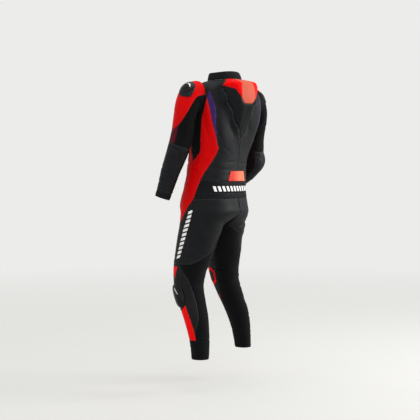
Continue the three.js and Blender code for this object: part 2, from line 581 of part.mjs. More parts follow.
const steps = (from, to, n) => Array.from({ length: n + 1 }, (_, k) => from + (to - from) * k / n);
const torsoRound = [0, 0.021, 0.04, 0.056, 0.072, 0.087, ...steps(0.104, 0.5, 14)];
const torsoUs = [...torsoRound.slice(1).reverse().map((a) => -a), ...torsoRound];
const torsoSs = [
  915, 941, 968, 996, 1035, 1073, 1112, 1152, 1168, 1190, 1218, 1246, 1276, 1306, 1335, 1364, 1393, 1426, 1440, 1455, 1468, 1482,
];
const inArmhole = (a, s) => Math.hypot((a - armhole.u) / armhole.halfShare, (s - armhole.height) / armhole.halfTall);
const perU = 960;
const line = (seam, from, to) => ({ zero: (u, s) => (Math.abs(u) - seam(s)) * perU, within: (u, s) => s >= from - 1e-6 && s <= to + 1e-6 });
const torsoPattern = cutPattern(torsoUs, torsoSs, perU, [
  { zero: (u, s) => (inArmhole(Math.abs(u), s) - 1) * armhole.halfTall },
  line(humpFoot, 1190, 1482),
  { zero: (u, s) => s - capEdge(Math.abs(u)), within: (u, s) => Math.abs(u) < 0.112 && s > 1340 },
  line(flashInner, 915, 1426),
  line(purpleInner, 1168, 1426),
  line(flashOuter, 915, 1393),
  line(frontEdge, 915, 1335),
  line(sideInset, 1073, 1190),
]);
function torsoLabel(u, s) {
  const a = Math.abs(u);
  const side = u > 0 ? "_left" : "_right";
  if (inArmhole(a, s) < 1) return null;
  if (s > 1190 && a < humpFoot(s)) return s > capEdge(a) ? "hump_cap" : "hump_body";
  if (s < waist.stripTop && a < flashInner(s)) return "waist_strip";
  if (s < waist.bandTop && a < flashInner(s)) return "waist_band";
  if (s < 1426 && a < flashInner(s)) return s > 1168 && a > purpleInner(s) ? "purple_stripe" + side : "back" + side;
  if (s > 1393) return a < 0.25 ? "back" + side : "front" + side;
  if (a < flashOuter(s)) return "flash" + side;
  if (a > frontEdge(s)) return "front" + side;
  if (s < 1092) return "flank_inset" + side;
  if (s < 1185 && a > sideInset(s)) return "flank_inset" + side;
  return "side_stretch" + side;
}
layPattern(torsoPattern, torsoLabel, torsoForm, -1, {
  hump_cap: "red", hump_body: "stretch", waist_strip: "band", waist_band: "band",
  back_left: "leather", back_right: "leather", purple_stripe_left: "purple", purple_stripe_right: "purple",
  flash_left: "red", flash_right: "red", front_left: "leather", front_right: "leather",
  flank_inset_left: "red", flank_inset_right: "red", side_stretch_left: "stretch", side_stretch_right: "stretch",
});

// The collar stands on the neck edge.
const collarSections = [
  { at: 0, size: 1, rises: 0, back: 0 },
  { at: 19, size: 0.95, rises: 18, back: -1 },
  { at: 38, size: 0.88, rises: 37, back: -4 },
];
const collarForm = loft(collarSections, (row, u) => {
  const p = torsoForm(u, 1482);
  return V(p.x * row.size, p.y * row.size + row.back, p.z + row.rises);
});
const collarPattern = cutPattern(torsoUs, [0, 19, 38], 480, []);
layPattern(collarPattern, () => "collar", collarForm, -1, { collar: "stretch" });

// Legs.
const legSs = [
  160, 205, 250, 285, 320, 350, 380, 410, 440, 470, 500, 530, 560, 588, 620, 655, 695, 735, 779, 810, 842, 879, 915,
];
const legUs = [-0.12, -0.06, ...steps(0, 0.75, 15), 0.8, 0.85, 0.9, 0.95, 1, 1.06];
const legPerU = 430;
const legLine = (seam, from, to) => ({ zero: (u, s) => (u - seam(s)) * legPerU, within: (u, s) => s >= from - 1e-6 && s <= to + 1e-6 });
const legPattern = cutPattern(legUs, legSs, legPerU, [
  legLine(inseam, 160, 842),
  { zero: (u, s) => (u - 1 - inseam(s)) * legPerU, within: (u, s) => u > 0.8 && s <= 842.01 },
  { zero: (u, s) => s - crotchLine(u), within: (u, s) => u > 0.74 && s > 780 },
  { zero: (u, s) => (u - seatInner(s)) * legPerU, within: (u, s) => s > 615 && s < 792 },
  { zero: (u, s) => s - thighHem(u), within: (u, s) => u < 0.66 && s > 540 && s < 720 },
  legLine(kneeOuter, 250, 588),
  legLine(calfEdge, 262, 588),
  legLine(accentFront, accent.tip, accent.top),
  legLine(accentBack, accent.tip, accent.top),
  { zero: (u, s) => s - shinTop(u), within: (u, s) => u < 0.39 && s > 330 && s < 460 },
  { zero: (u, s) => (u - tailBack(s)) * legPerU, within: (u, s) => s >= 775 },
  { zero: (u, s) => (u - tailFront(s)) * legPerU, within: (u, s) => s >= 775 },
]);
function legLabel(side) {
  return (u, s) => {
    if (u < inseam(s) || u > 1 + inseam(s)) return null;
    if (u > outerShare && (s > crotchLine(u) || (u > 1 && s > 700))) return null;
    if (s > 779 && u > tailFront(s) && u < tailBack(s)) return "thigh_tail" + side;
    if (s < hems.legCuff) return "leg_cuff" + side;
    if (s > 600 && s > thighHem(u) && u < seatInner(s)) return "seat_thigh" + side;
    if (s > 780 && u <= outerShare) return "seat_thigh" + side;
    if (s < 262 && u > 0.385) return "leg_stretch" + side;
    const inAccent = s > accent.tip && s < accent.top && s < thighHem(u) && u > accentFront(s) && u < accentBack(s);
    if (inAccent) return "knee_accent" + side;
    if (s < 600 && u < kneeOuter(s)) return s > shinTop(u) ? "knee" + side : "shin" + side;
    if (s < 600 && s > 262 && u < calfEdge(s)) return "calf_panel" + side;
    return "leg_stretch" + side;
  };
}
const legPanels = (side) => ({
  ["seat_thigh" + side]: "leather", ["thigh_tail" + side]: "red", ["leg_stretch" + side]: "stretch",
  ["knee" + side]: "leather", ["knee_accent" + side]: "red", ["shin" + side]: "red", ["calf_panel" + side]: "grey", ["leg_cuff" + side]: "stretch",
});
layPattern(legPattern, legLabel("_left"), leftLegForm, 1, legPanels("_left"));
layPattern(legPattern, legLabel("_right"), rightLegForm, -1, legPanels("_right"));

// Sleeves.
const sleeveUs = steps(-underarm, 1 - underarm, 16);
const sleeveSs = [
  0, 24, 52, 84, 120, 160, 200, 243, 284, 318, 345, 378, 410, 445, 480, 520, 562, 605, 635,
];
const sleevePerU = 330;
// The right arm is turned in, and the red shoulder goes round with it.
const armTurn = { _left: 0, _right: 0.1 };
const sleevePattern = (side) => cutPattern(sleeveUs, sleeveSs, sleevePerU, [
  { zero: (u, s) => (u - underarm) * sleevePerU },
  { zero: (u, s) => s - shoulderHem(u - armTurn[side]), within: (u) => u > 0.24 + armTurn[side] },
  { zero: (u, s) => (u - elbowFront) * sleevePerU, within: (u, s) => s > 270 && s < 380 },
  { zero: (u, s) => s - elbowLow(u), within: (u, s) => u > 0.1 && s > 300 && s < 420 },
]);
function sleeveLabel(side) {
  return (u, s) => {
    if (s > hems.sleeveCuff) return "sleeve_cuff" + side;
    if (u < underarm) return "sleeve_under" + side;
    if (u > 0.255 + armTurn[side] && s < shoulderHem(u - armTurn[side])) return "shoulder" + side;
    if (s > elbowLow(u)) return "forearm" + side;
    if (u > elbowFront) return "elbow_stretch" + side;
    return "upper_sleeve" + side;
  };
}
const sleevePanels = (side) => ({
  ["shoulder" + side]: "red", ["upper_sleeve" + side]: "stretch", ["sleeve_under" + side]: "stretch",
  ["elbow_stretch" + side]: "crimson", ["forearm" + side]: "leather", ["sleeve_cuff" + side]: "band",
});
const sleeveOptions = { gap: (u, s) => (s < 1 ? 0.3 : seamGap / 2) };
layPattern(sleevePattern("_left"), sleeveLabel("_left"), leftSleeveForm, 1, sleevePanels("_left"), sleeveOptions);
layPattern(sleevePattern("_right"), sleeveLabel("_right"), rightSleeveForm, -1, sleevePanels("_right"), sleeveOptions);

// Pads that lie on the panels, moved out by base so that they clear the flat facets below.
const pads = {
  // knee slider pads, on the outside of each knee
  knee_slider: { at: [0.26, 452], half: [0.1, 55], height: 13, outline: oval(18, 2.5), look: "black" },
  // leaf of leather on the inside of each knee that grips the tank
  knee_grip: { at: [0.958, 520], half: [0.055, 47], height: 3, edge: 1.6, rings: 2, outline: polygon([[0, 1], [-1, 0.55], [-1, -0.55], [0, -1], [1, -0.55], [1, 0.55]], 2), look: "red" },
  elbow_pad: { at: [0.45, 452], half: [0.105, 56], height: 8, outline: oval(18, 2.2), look: "leather" },
  shoulder_cup: { at: [0.475, 116], half: [0.105, 44], height: 9, outline: oval(18, 2.4), look: "black" },
};
const legPad = (name, side, form, sign) => add(name + side, pad(form, sign, pads[name]), pads[name].look);
legPad("knee_slider", "_left", leftLegForm, 1);
legPad("knee_slider", "_right", rightLegForm, -1);
legPad("knee_grip", "_left", leftLegForm, 1);
legPad("knee_grip", "_right", rightLegForm, -1);
for (const name of ["elbow_pad", "shoulder_cup"]) {
  legPad(name, "_left", leftSleeveForm, 1);
  legPad(name, "_right", rightSleeveForm, -1);
}
// The light insert follows the crown of the cup below it.
const cup = pads.shoulder_cup;
const insertShare = 0.52;
const insert = {
  at: cup.at, half: cup.half.map((v) => v * insertShare), height: 3.2, edge: 1.6, rings: 3, outline: oval(14, 2.4),
  under: (r) => 1.6 + (cup.height - 1.6) * Math.sqrt(1 - (r * insertShare) ** 2.4) + 0.8,
};
add("shoulder_insert_left", pad(leftSleeveForm, 1, insert), "metal");
add("shoulder_insert_right", pad(rightSleeveForm, -1, insert), "metal");

// Badge of raised leather over the waist band.
const badge = { at: [0, 1020], half: [0.068, 24], height: 3, edge: 1.8, rings: 3, outline: polygon([[1, -1], [0.8, 1], [-0.8, 1], [-1, -1]], 4), base: 1.4 };
add("lumbar_badge", pad(torsoForm, -1, badge), "coral");

// Front of the suit: v goes across the middle line, in shares of the torso's round.
function frontForm(v, s) {
  if (s >= waistSeamHeight) return torsoForm(0.5 + v, s);
  const leg = [leftLegForm(-1.5 * Math.min(v, 0), s), rightLegForm(1.5 * Math.max(v, 0), s)];
  if (v < 0) return leg[0];
  if (v > 0) return leg[1];
  return leg[0].add(leg[1]).multiplyScalar(0.5);
}
const zip = { bottom: 848, top: 1482, halfShare: 0.0165, raise: 2.9, wall: 2.3 };
const zipPattern = cutPattern([-zip.halfShare, 0, zip.halfShare], [zip.bottom, 879, ...torsoSs], perU, []);
layPattern(zipPattern, () => "front_zip", frontForm, -1, { front_zip: "band" }, { raise: zip.raise, wall: zip.wall });

// Zip slider and its pull tab, near the top of the zip. x: to the wearer's left, y: up the zip, z: out.
const slider = { at: 1440, wide: 11, tall: 17, thick: 4, lift: 0.5 };
const bridge = { wide: 3, half: 5.2, wall: 1.9, rise: 4.3, top: 1.5 };
const pull = { wide: 8.4, long: 27, thick: 1.6, bar: 0.8, eye: 7, eyeHalf: 2.3 };
const axisHeight = zip.raise + slider.lift + slider.thick + 1.25;
const rectangle = (x0, y0, x1, y1) => [[x0, y0], [x1, y0], [x1, y1], [x0, y1]].map(([x, y]) => new THREE.Vector2(x, y));
function extruded(outline, hole, depth) {
  const shape = new THREE.Shape(outline);
  if (hole) shape.holes.push(new THREE.Path(hole));
  return new THREE.ExtrudeGeometry(shape, { depth, bevelEnabled: false }).translate(0, 0, -depth / 2);
}
function solid(geometry) {
  const bare = geometry.clone();
  for (const name of ["normal", "uv"]) bare.deleteAttribute(name);
  const merged = mergeVertices(bare, 1e-4);
  return new wasm.Manifold(new wasm.Mesh({
    numProp: 3, vertProperties: merged.attributes.position.array, triVerts: new Uint32Array(merged.index.array),
  }));
}
function fromSolid(made) {
  const { vertProperties, triVerts } = made.getMesh();
  const geometry = new THREE.BufferGeometry();
  geometry.setAttribute("position", new THREE.BufferAttribute(new Float32Array(vertProperties), 3));
  geometry.setIndex(new THREE.BufferAttribute(new Uint32Array(triVerts), 1));
  geometry.computeVertexNormals();
  return geometry;
}
const sliderBase = new THREE.BoxGeometry(slider.wide, slider.tall, slider.thick)
  .translate(0, 0, zip.raise + slider.lift + slider.thick / 2);
const bridgeLow = zip.raise + slider.lift + slider.thick - 1;
const bridgeTop = zip.raise + slider.lift + slider.thick + bridge.rise;
// side view of the bridge, across the zip: x of the shape is up the zip, y is out
const bridgeShape = extruded(
  rectangle(-bridge.half, bridgeLow, bridge.half, bridgeTop),
  rectangle(-bridge.half + bridge.wall, bridgeLow + 0.5, bridge.half - bridge.wall, bridgeTop - bridge.top),
  bridge.wide,
).applyMatrix4(new THREE.Matrix4().makeBasis(V(0, 1, 0), V(0, 0, 1), V(1, 0, 0)));
const sliderSolid = solid(sliderBase).add(solid(bridgeShape));
const pullShape = new THREE.Shape(rectangle(-pull.wide / 2, -pull.long, pull.wide / 2, pull.bar));
pullShape.holes.push(new THREE.Path(rectangle(-pull.eyeHalf, -pull.eye, pull.eyeHalf, -pull.bar)));
const pullGeometry = new THREE.ExtrudeGeometry(pullShape, { depth: pull.thick, bevelEnabled: false })
  .translate(0, 0, axisHeight - pull.thick / 2);
const zipNormal = normalOf(frontForm, -1)(0, slider.at);
const zipUp = frontForm(0, slider.at + 3).sub(frontForm(0, slider.at - 3)).normalize();
const zipSide = zipUp.clone().cross(zipNormal).normalize();
const trueUp = zipNormal.clone().cross(zipSide).normalize();
const zipFrame = new THREE.Group();
zipFrame.applyMatrix4(new THREE.Matrix4().makeBasis(zipSide, trueUp, zipNormal).setPosition(frontForm(0, slider.at)));
suit.add(zipFrame);
for (const [name, geometry] of [["zip_slider", fromSolid(sliderSolid)], ["zip_pull", pullGeometry]]) {
  zipFrame.add(add(name, geometry, "metal"));
}
export default suit;
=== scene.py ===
import json
import math
import bpy
import numpy as np
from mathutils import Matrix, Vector, bvhtree, kdtree

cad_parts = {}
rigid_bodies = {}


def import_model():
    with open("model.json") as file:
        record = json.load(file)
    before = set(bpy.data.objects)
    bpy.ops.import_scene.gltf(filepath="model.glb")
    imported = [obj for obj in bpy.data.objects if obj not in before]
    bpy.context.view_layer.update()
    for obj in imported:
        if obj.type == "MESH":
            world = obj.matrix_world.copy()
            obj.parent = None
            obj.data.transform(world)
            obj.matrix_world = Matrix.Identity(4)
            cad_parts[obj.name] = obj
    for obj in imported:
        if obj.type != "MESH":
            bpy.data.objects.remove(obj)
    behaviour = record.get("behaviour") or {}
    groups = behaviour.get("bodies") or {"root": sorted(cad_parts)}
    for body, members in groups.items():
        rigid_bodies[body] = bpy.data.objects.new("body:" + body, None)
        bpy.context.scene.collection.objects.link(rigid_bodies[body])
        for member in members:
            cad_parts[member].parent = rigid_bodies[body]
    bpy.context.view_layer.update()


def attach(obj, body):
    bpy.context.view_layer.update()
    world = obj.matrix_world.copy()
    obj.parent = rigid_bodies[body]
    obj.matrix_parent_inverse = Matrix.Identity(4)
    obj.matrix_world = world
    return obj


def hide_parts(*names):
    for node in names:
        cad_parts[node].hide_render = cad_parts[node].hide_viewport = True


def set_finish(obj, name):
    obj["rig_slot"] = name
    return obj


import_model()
scene = bpy.context.scene
print("frame loaded")

# The forms, in millimetres above the sole of the foot; everything is lowered by shoulderHeight at the end.
shoulderHeight = 1470.0
wall = 2.4
seamGap = 0.4
outerShare = 0.75


def table(columns, lines):
    values = np.array(lines, float)
    return {name: values[:, i] for i, name in enumerate(columns.split())}


# A smooth curve through the rows: points is rows x columns, or rows x spots x columns.
def through(at, points, s):
    n = len(at)
    k = np.clip(np.searchsorted(at, s, side="right") - 1, 0, n - 2)
    before = np.maximum(k - 1, 0)
    after = np.minimum(k + 2, n - 1)
    spots = np.arange(len(s))
    if points.ndim == 3:
        pick = lambda j: points[j, spots]
    else:
        pick = lambda j: points[j]
    p = pick(k)
    q = pick(k + 1)
    span = (at[k + 1] - at[k])[:, None]
    t = np.clip((s - at[k])[:, None] / span, 0, 1)
    leave = (q - pick(before)) / (at[k + 1] - at[before])[:, None]
    arrive = (pick(after) - p) / (at[after] - at[k])[:, None]
    t2 = t * t
    t3 = t2 * t
    start = (2 * t3 - 3 * t2 + 1) * p + (t3 - 2 * t2 + t) * span * leave
    return start + (3 * t2 - 2 * t3) * q + (t3 - t2) * span * arrive


def seamLine(pairs):
    pairs = np.array(pairs, float)
    at = pairs[:, 0]
    values = pairs[:, 1:2]
    return lambda x: through(at, values, np.ravel(x))[:, 0].reshape(np.shape(x))


def turned(p, degrees):
    a = math.radians(degrees)
    x = p[:, 0] * math.cos(a) - p[:, 1] * math.sin(a)
    y = p[:, 0] * math.sin(a) + p[:, 1] * math.cos(a)
    return np.stack([x, y, p[:, 2]], 1)


torsoSections = table("at midX midY turn side front back risesBack dropsFront full", [
    [915, 27, -48, 9, 188, 122, 142, 0, 0, 0.07],
    [960, 25, -44, 9, 181, 114, 134, 0, 0, 0.07],
    [1030, 20, -36, 8, 172, 114, 124, 0, 0, 0.07],
    [1110, 13, -26, 6, 166, 118, 119, 0, 0, 0.06],
    [1200, 7, -14, 1, 172, 122, 120, 0, 0, 0.06],
    [1290, 2, -5, -6, 184, 128, 122, 0, 0, 0.06],
    [1370, 0, 0, -10, 188, 120, 124, 0, 0, 0.05],
    [1430, 0, 0, -10, 176, 100, 112, 8, -8, 0.04],
    [1462, 0, -2, -10, 142, 82, 92, 7, -16, 0.02],
    [1482, 0, -4, -10, 86, 66, 66, 7, -28, 0],
])
humpShape = table("at out wide", [
    [1190, 0, 12], [1235, 12, 28], [1275, 28, 44], [1320, 44, 62], [1375, 60, 84],
    [1420, 68, 98], [1450, 71, 106], [1466, 70, 106], [1482, 22, 100],
])
humpFlat = 0.6
# How far the shoulder blades stand out, between the hump and the armholes.
bladeShape = table("at out", [
    [1130, 0], [1170, 6], [1210, 12], [1300, 16], [1380, 12], [1440, 5], [1470, 0],
])
pelvisSections = table("at midX midY turn side front back full", [
    [842, 28, -50, 10, 194, 120, 152, 0.08],
    [880, 28, -50, 9.5, 192, 126, 150, 0.07],
    [915, 27, -48, 9, 188, 122, 142, 0.07],
])
legColumns = "at midX midY turn out inside front back corner"
leftLegSections = table(legColumns, [
    [160, 205, 26, 18, 40, 39, 41, 41, 40],
    [200, 204, 24, 18, 42, 41, 43, 43, 40],
    [265, 202, 14, 18, 48, 46, 48, 51, 40],
    [350, 195, -14, 18, 57, 52, 56, 64, 40],
    [420, 186, -42, 18, 61, 56, 68, 66, 40],
    [480, 178, -60, 17, 63, 58, 78, 65, 40],
    [530, 170, -67, 16, 66, 62, 84, 70, 42],
    [590, 158, -62, 15, 72, 68, 98, 77, 44],
    [650, 146, -54, 14, 80, 76, 104, 86, 46],
    [715, 133, -48, 13, 90, 84, 106, 97, 48],
    [775, 121, -44, 12, 98, 92, 106, 114, 50],
])
rightLegSections = table(legColumns, [
    [160, -189, -34, -2, 40, 39, 41, 41, 40],
    [200, -186, -36, -2, 42, 41, 43, 43, 40],
    [265, -178, -42, -2, 48, 46, 48, 50, 40],
    [350, -160, -56, -2, 57, 56, 56, 63, 40],
    [420, -142, -74, -2, 61, 58, 68, 66, 40],
    [480, -128, -88, 0, 63, 58, 78, 66, 40],
    [530, -118, -92, 1, 66, 62, 84, 70, 42],
    [590, -106, -88, 3, 72, 68, 98, 78, 44],
    [650, -92, -78, 5, 80, 76, 104, 88, 46],
    [715, -77, -70, 7, 90, 84, 106, 97, 48],
    [775, -65, -62, 8, 98, 92, 106, 114, 50],
])
seatPlane = {"x": 28, "y": -50, "turn": 10, "from": 760, "clear": 0.2}
armhole = {"u": 0.25, "height": 1392, "halfTall": 72, "halfShare": 0.082, "inside": 0.984}
sleeveColumns = "at midX midY midZ lean swing wide near deep"
leftSleeveSections = table(sleeveColumns, [
    [33, 180, -29, 1397, 96, 0, 77, 78, 63],
    [70, 199, -31, 1389, 82, 1, 77, 72, 63],
    [104, 214, -34, 1377, 68, 2, 74, 65, 63],
    [171, 228, -39, 1344, 43, 5, 60, 49, 61],
    [243, 232, -46, 1298, 16, 8, 52, 40, 58],
    [325, 236, -60, 1216, 9, 10, 52, 48, 55],
    [385, 245, -73, 1158, 9, 14, 51, 50, 53],
    [445, 255, -90, 1100, 10, 16, 48, 48, 50],
    [510, 266, -110, 1038, 10, 16, 43, 43, 45],
    [575, 276, -127, 974, 10, 16, 38, 38, 40],
    [635, 286, -143, 916, 10, 16, 36, 36, 37],
])
rightSleeveSections = table(sleeveColumns, [
    [33, -180, 29, 1397, 96, 0, 66, 78, 63],
    [70, -199, 27, 1389, 82, 2, 58, 72, 61],
    [104, -213, 24, 1377, 68, 5, 53, 65, 60],
    [171, -227, 20, 1344, 43, 12, 51, 49, 60],
    [243, -230, 14, 1298, 16, 15, 52, 40, 58],
    [325, -236, -3, 1216, 9, 15, 50, 48, 55],
    [385, -243, -8, 1156, 7, 22, 50, 50, 54],
    [445, -246, -4, 1104, 2, 42, 48, 48, 54],
    [510, -243, -42, 1046, -5, 52, 43, 43, 46],
    [575, -236, -92, 1005, -9, 53, 38, 38, 40],
    [635, -228, -140, 968, -10, 53, 36, 36, 37],
])


def ovalPoint(side, front, back, full, angle):
    swell = 1 + full * np.sin(2 * angle) ** 2
    depth = np.where(np.cos(angle) > 0, back, front)
    x = side * np.sin(angle) * swell
    y = depth * np.cos(angle) * swell
    return np.stack([x, y, np.zeros_like(x)], 1)


def smooth(t):
    t = np.clip(t, 0, 1)
    return t * t * (3 - 2 * t)


def torsoRing(i, u):
    row = {name: values[i] for name, values in torsoSections.items()}
    angle = 2 * math.pi * u
    p = ovalPoint(row["side"], row["front"], row["back"], row["full"], angle)
    behind = np.cos(angle) > 0
    a = np.abs(u)
    stands = through(bladeShape["at"], bladeShape["out"][:, None], np.array([row["at"]]))[0, 0]
    blade = stands * smooth((a - 0.04) / 0.07) * smooth((0.185 - a) / 0.05)
    p *= (1 + blade / np.hypot(p[:, 0], p[:, 1]))[:, None]
    lift = np.where(behind, row["risesBack"], row["dropsFront"])
    p[:, 2] = row["at"] + lift * np.cos(angle) ** 2
    hump = through(humpShape["at"], np.stack([humpShape["out"], humpShape["wide"]], 1), np.array([row["at"]]))[0]
    t = np.clip((np.abs(p[:, 0]) / hump[1] - humpFlat) / (1 - humpFlat), 0, 1)
    p[:, 1] += np.where(behind, hump[0] * (1 - 0.6 * t - 0.4 * smooth(t)), 0)
    return turned(p, row["turn"]) + np.array([row["midX"], row["midY"], 0])


def legRing(sections, i, side, share):
    row = {name: values[i] for name, values in sections.items()}
    u = np.where((share >= 0) & (share <= 1), share, share - np.floor(share))
    inner = (u - outerShare) / (1 - outerShare)
    if "corner" not in row:
        p = ovalPoint(row["side"], row["front"], row["back"], row["full"], math.pi * (1 - u / outerShare))
        flat = np.zeros_like(p)
        flat[:, 1] = row["back"] - inner * (row["back"] + row["front"])
        p = np.where((u <= outerShare)[:, None], p, flat)
    else:
        corner = row["corner"]
        around = -corner + u / outerShare * (180 + 2 * corner)
        angle = np.radians(np.where(u <= outerShare, around, 180 + corner + inner * (180 - 2 * corner)))
        x = np.where(np.sin(angle) > 0, row["out"], row["inside"]) * np.sin(angle)
        y = -np.where(np.cos(angle) > 0, row["front"], row["back"]) * np.cos(angle)
        p = np.stack([x, y, np.zeros_like(x)], 1)
    p[:, 0] *= side
    p[:, 2] = row["at"]
    return turned(p, row["turn"]) + np.array([row["midX"], row["midY"], 0])


def sleeveRing(sections, i, side, u):
    row = {name: values[i] for name, values in sections.items()}
    a = 2 * math.pi * u
    lean = math.radians(row["lean"])
    swing = math.radians(row["swing"])
    # leaning out turns the section about Y, swinging forward then turns it about X
    out = np.array([side * math.cos(lean), math.sin(lean) * math.sin(swing), math.sin(lean) * math.cos(swing)])
    forward = np.array([0, -math.cos(swing), math.sin(swing)])
    reach = np.where(np.cos(a) > 0, row["near"], row["wide"])
    middle = np.array([row["midX"], row["midY"], row["midZ"]])
    return middle + (-np.cos(a) * reach)[:, None] * out + (-np.sin(a) * row["deep"])[:, None] * forward


# Soft troughs (depth > 0) and ridges that the solids have too.
foldColumns = "u s halfU halfS depth lean"
torsoFolds = table(foldColumns, [
    [0.17, 1062, 0.09, 26, 4.5, 260],
    [0.2, 1012, 0.08, 22, -2.5, 200],
    [0.3, 1100, 0.08, 30, 3.5, 150],
    [0.42, 1020, 0.1, 28, 4, 0],
    [0.14, 1345, 0.025, 70, 2.5, 0],
])
legFolds = table(foldColumns, [
    [0.63, 790, 0.13, 26, 8, -120],
    [0.5, 742, 0.12, 24, -2.5, -60],
    [0.1, 822, 0.12, 28, 6, 220],
    [0.62, 560, 0.14, 22, 3.5, 40],
    [0.6, 502, 0.15, 22, 4.5, -40],
    [0.55, 400, 0.12, 26, 2.5, 60],
])
sleeveFolds = table(foldColumns, [
    [0.8, 420, 0.14, 22, 4.5, 0],
    [0.85, 378, 0.12, 20, 2.5, 40],
    [0.22, 262, 0.1, 26, 3, -120],
    [0.25, 120, 0.1, 34, 3.5, 180],
])


def bump(t):
    return np.where(np.abs(t) < 1, (1 - t * t) ** 2, 0)


def normals(form, sign, u, s):
    du = 0.004
    ds = 2.5
    along = form(u + du, s) - form(u - du, s)
    up = form(u, s + ds) - form(u, s - ds)
    n = np.cross(along, up)
    return sign * n / np.linalg.norm(n, axis=1)[:, None]


def folded(form, sign, folds, bothSides=False):
    def withFolds(u, s):
        at = np.abs(u) if bothSides else u
        depth = np.zeros_like(u)
        for k in range(len(folds["u"])):
            f = {name: values[k] for name, values in folds.items()}
            du = at - f["u"]
            depth += f["depth"] * bump(du / f["halfU"]) * bump((s - f["s"] - f["lean"] * du) / f["halfS"])
        p = form(u, s)
        hit = np.abs(depth) > 0
        if hit.any():
            p[hit] -= depth[hit][:, None] * normals(form, sign, u[hit], s[hit])
        return p
    return withFolds


def torsoBase(u, s):
    rings = np.stack([torsoRing(i, u) for i in range(len(torsoSections["at"]))])
    return through(torsoSections["at"], rings, s)


torsoForm = folded(torsoBase, -1, torsoFolds, bothSides=True)


def legForm(sections, side):
    at = np.concatenate([sections["at"], pelvisSections["at"]])

    def base(u, s):
        lower = [legRing(sections, i, side, u) for i in range(len(sections["at"]))]
        upper = [legRing(pelvisSections, i, side, u) for i in range(len(pelvisSections["at"]))]
        return through(at, np.stack(lower + upper), s)

    loose = folded(base, side, legFolds)

    def form(u, s):
        p = loose(u, s)
        middle = np.array([seatPlane["x"], seatPlane["y"], 0])
        q = turned(p - middle, -seatPlane["turn"])
        over = (s >= seatPlane["from"]) & (side * q[:, 0] < seatPlane["clear"])
        q[over, 0] = side * seatPlane["clear"]
        p[over] = (turned(q, seatPlane["turn"]) + middle)[over]
        return p
    return form


def sleeveForm(sections, side):
    at = np.concatenate([[0], sections["at"]])

    def base(u, s):
        a = 2 * math.pi * u
        share = armhole["inside"]
        across = side * (armhole["u"] - armhole["halfShare"] * share * np.sin(a))
        head = torsoForm(across, armhole["height"] - armhole["halfTall"] * share * np.cos(a))
        rings = [sleeveRing(sections, i, side, u) for i in range(len(sections["at"]))]
        return through(at, np.stack([head] + rings), s)
    return folded(base, side, sleeveFolds)


collarRows = table("at size rises back", [[0, 1, 0, 0], [19, 0.95, 18, -1], [38, 0.88, 37, -4]])


# The collar stands on the neck edge of the torso.
def collarForm(u, s):
    foot = torsoForm(u, np.full_like(u, 1482))
    size, rises, back = through(
        collarRows["at"], np.stack([collarRows["size"], collarRows["rises"], collarRows["back"]], 1), s).T
    return np.stack([foot[:, 0] * size, foot[:, 1] * size + back, foot[:, 2] + rises], 1)


forms = {
    "torso": (torsoForm, -1),
    "collar": (collarForm, -1),
    "legLeft": (legForm(leftLegSections, 1), 1),
    "legRight": (legForm(rightLegSections, -1), -1),
    "sleeveLeft": (sleeveForm(leftSleeveSections, 1), 1),
    "sleeveRight": (sleeveForm(rightSleeveSections, -1), -1),
}

# Seams. Torso: the share a = |u| for each height s.
humpFoot = seamLine([
    [1190, 0.002], [1220, 0.0165], [1244, 0.027], [1268, 0.035], [1292, 0.042], [1316, 0.0496], [1340, 0.0572],
    [1364, 0.0643], [1388, 0.0719], [1412, 0.0803], [1436, 0.0905], [1446, 0.098], [1482, 0.1],
])
purpleInner = seamLine([[1168, 0.1305], [1247, 0.125], [1288, 0.118], [1340, 0.115], [1376, 0.122], [1426, 0.1455]])
flashInner = seamLine([
    [915, 0.24], [954, 0.232], [983, 0.222], [1036, 0.197], [1083, 0.165], [1125, 0.138], [1145, 0.1285], [1152, 0.1255],
    [1168, 0.1305], [1200, 0.133], [1246, 0.136], [1329, 0.14], [1379, 0.15], [1393, 0.154], [1426, 0.1455],
    [1482, 0.1455],
])
flashOuter = seamLine([
    [915, 0.3], [954, 0.307], [1073, 0.32], [1092, 0.304], [1112, 0.27], [1134, 0.243], [1201, 0.232], [1286, 0.202],
    [1340, 0.176], [1393, 0.154],
])
sideInset = seamLine([[1092, 0.304], [1134, 0.316], [1185, 0.325]])
frontEdge = seamLine([[915, 0.37], [954, 0.372], [1073, 0.365], [1120, 0.35], [1185, 0.325], [1250, 0.306], [1345, 0.28]])
capEdge = seamLine([
    [0, 1364], [0.019, 1365], [0.028, 1373], [0.037, 1387], [0.052, 1412], [0.06, 1424], [0.066, 1429], [0.087, 1441],
    [0.11, 1450],
])
stripTop = 941
bandTop = 996
flashTop = 1426
flashCorner = 1152
purpleLow = 1168
insetTip = 1185

# Legs: u for each height s, or the height for each u.
inseam = seamLine([
    [160, 0.05], [262, 0.05], [340, 0.03], [380, 0], [410, -0.05], [440, -0.09], [470, -0.11], [560, -0.112],
    [640, -0.112], [700, -0.106], [775, -0.04], [842, 0], [915, 0],
])
seatInner = seamLine([[590, 0.56], [654, 0.602], [680, 0.622], [715, 0.634], [745, 0.672], [785, 0.75], [915, 0.75]])
thighHem = seamLine([[-0.12, 606], [0, 596], [0.1, 588], [0.218, 587], [0.412, 600], [0.544, 632], [0.602, 654], [0.64, 690]])
kneeOuter = seamLine([[250, 0.385], [309, 0.38], [413, 0.345], [504, 0.335], [560, 0.312], [600, 0.3]])
calfEdge = seamLine([
    [262, 0.385], [292, 0.412], [337, 0.474], [380, 0.49], [436, 0.492], [515, 0.442], [560, 0.362], [600, 0.3],
])
shinTop = seamLine([[-0.12, 440], [-0.09, 436], [0.05, 378], [0.188, 378], [0.3, 398], [0.345, 413], [0.4, 430]])
accentFront = seamLine([[530, 0.24], [588, 0.12]])
accentBack = seamLine([[530, 0.24], [588, 0.285]])
tailBack = seamLine([[779, 0.2], [810, 0.247], [859, 0.311], [907, 0.382], [915, 0.39]])
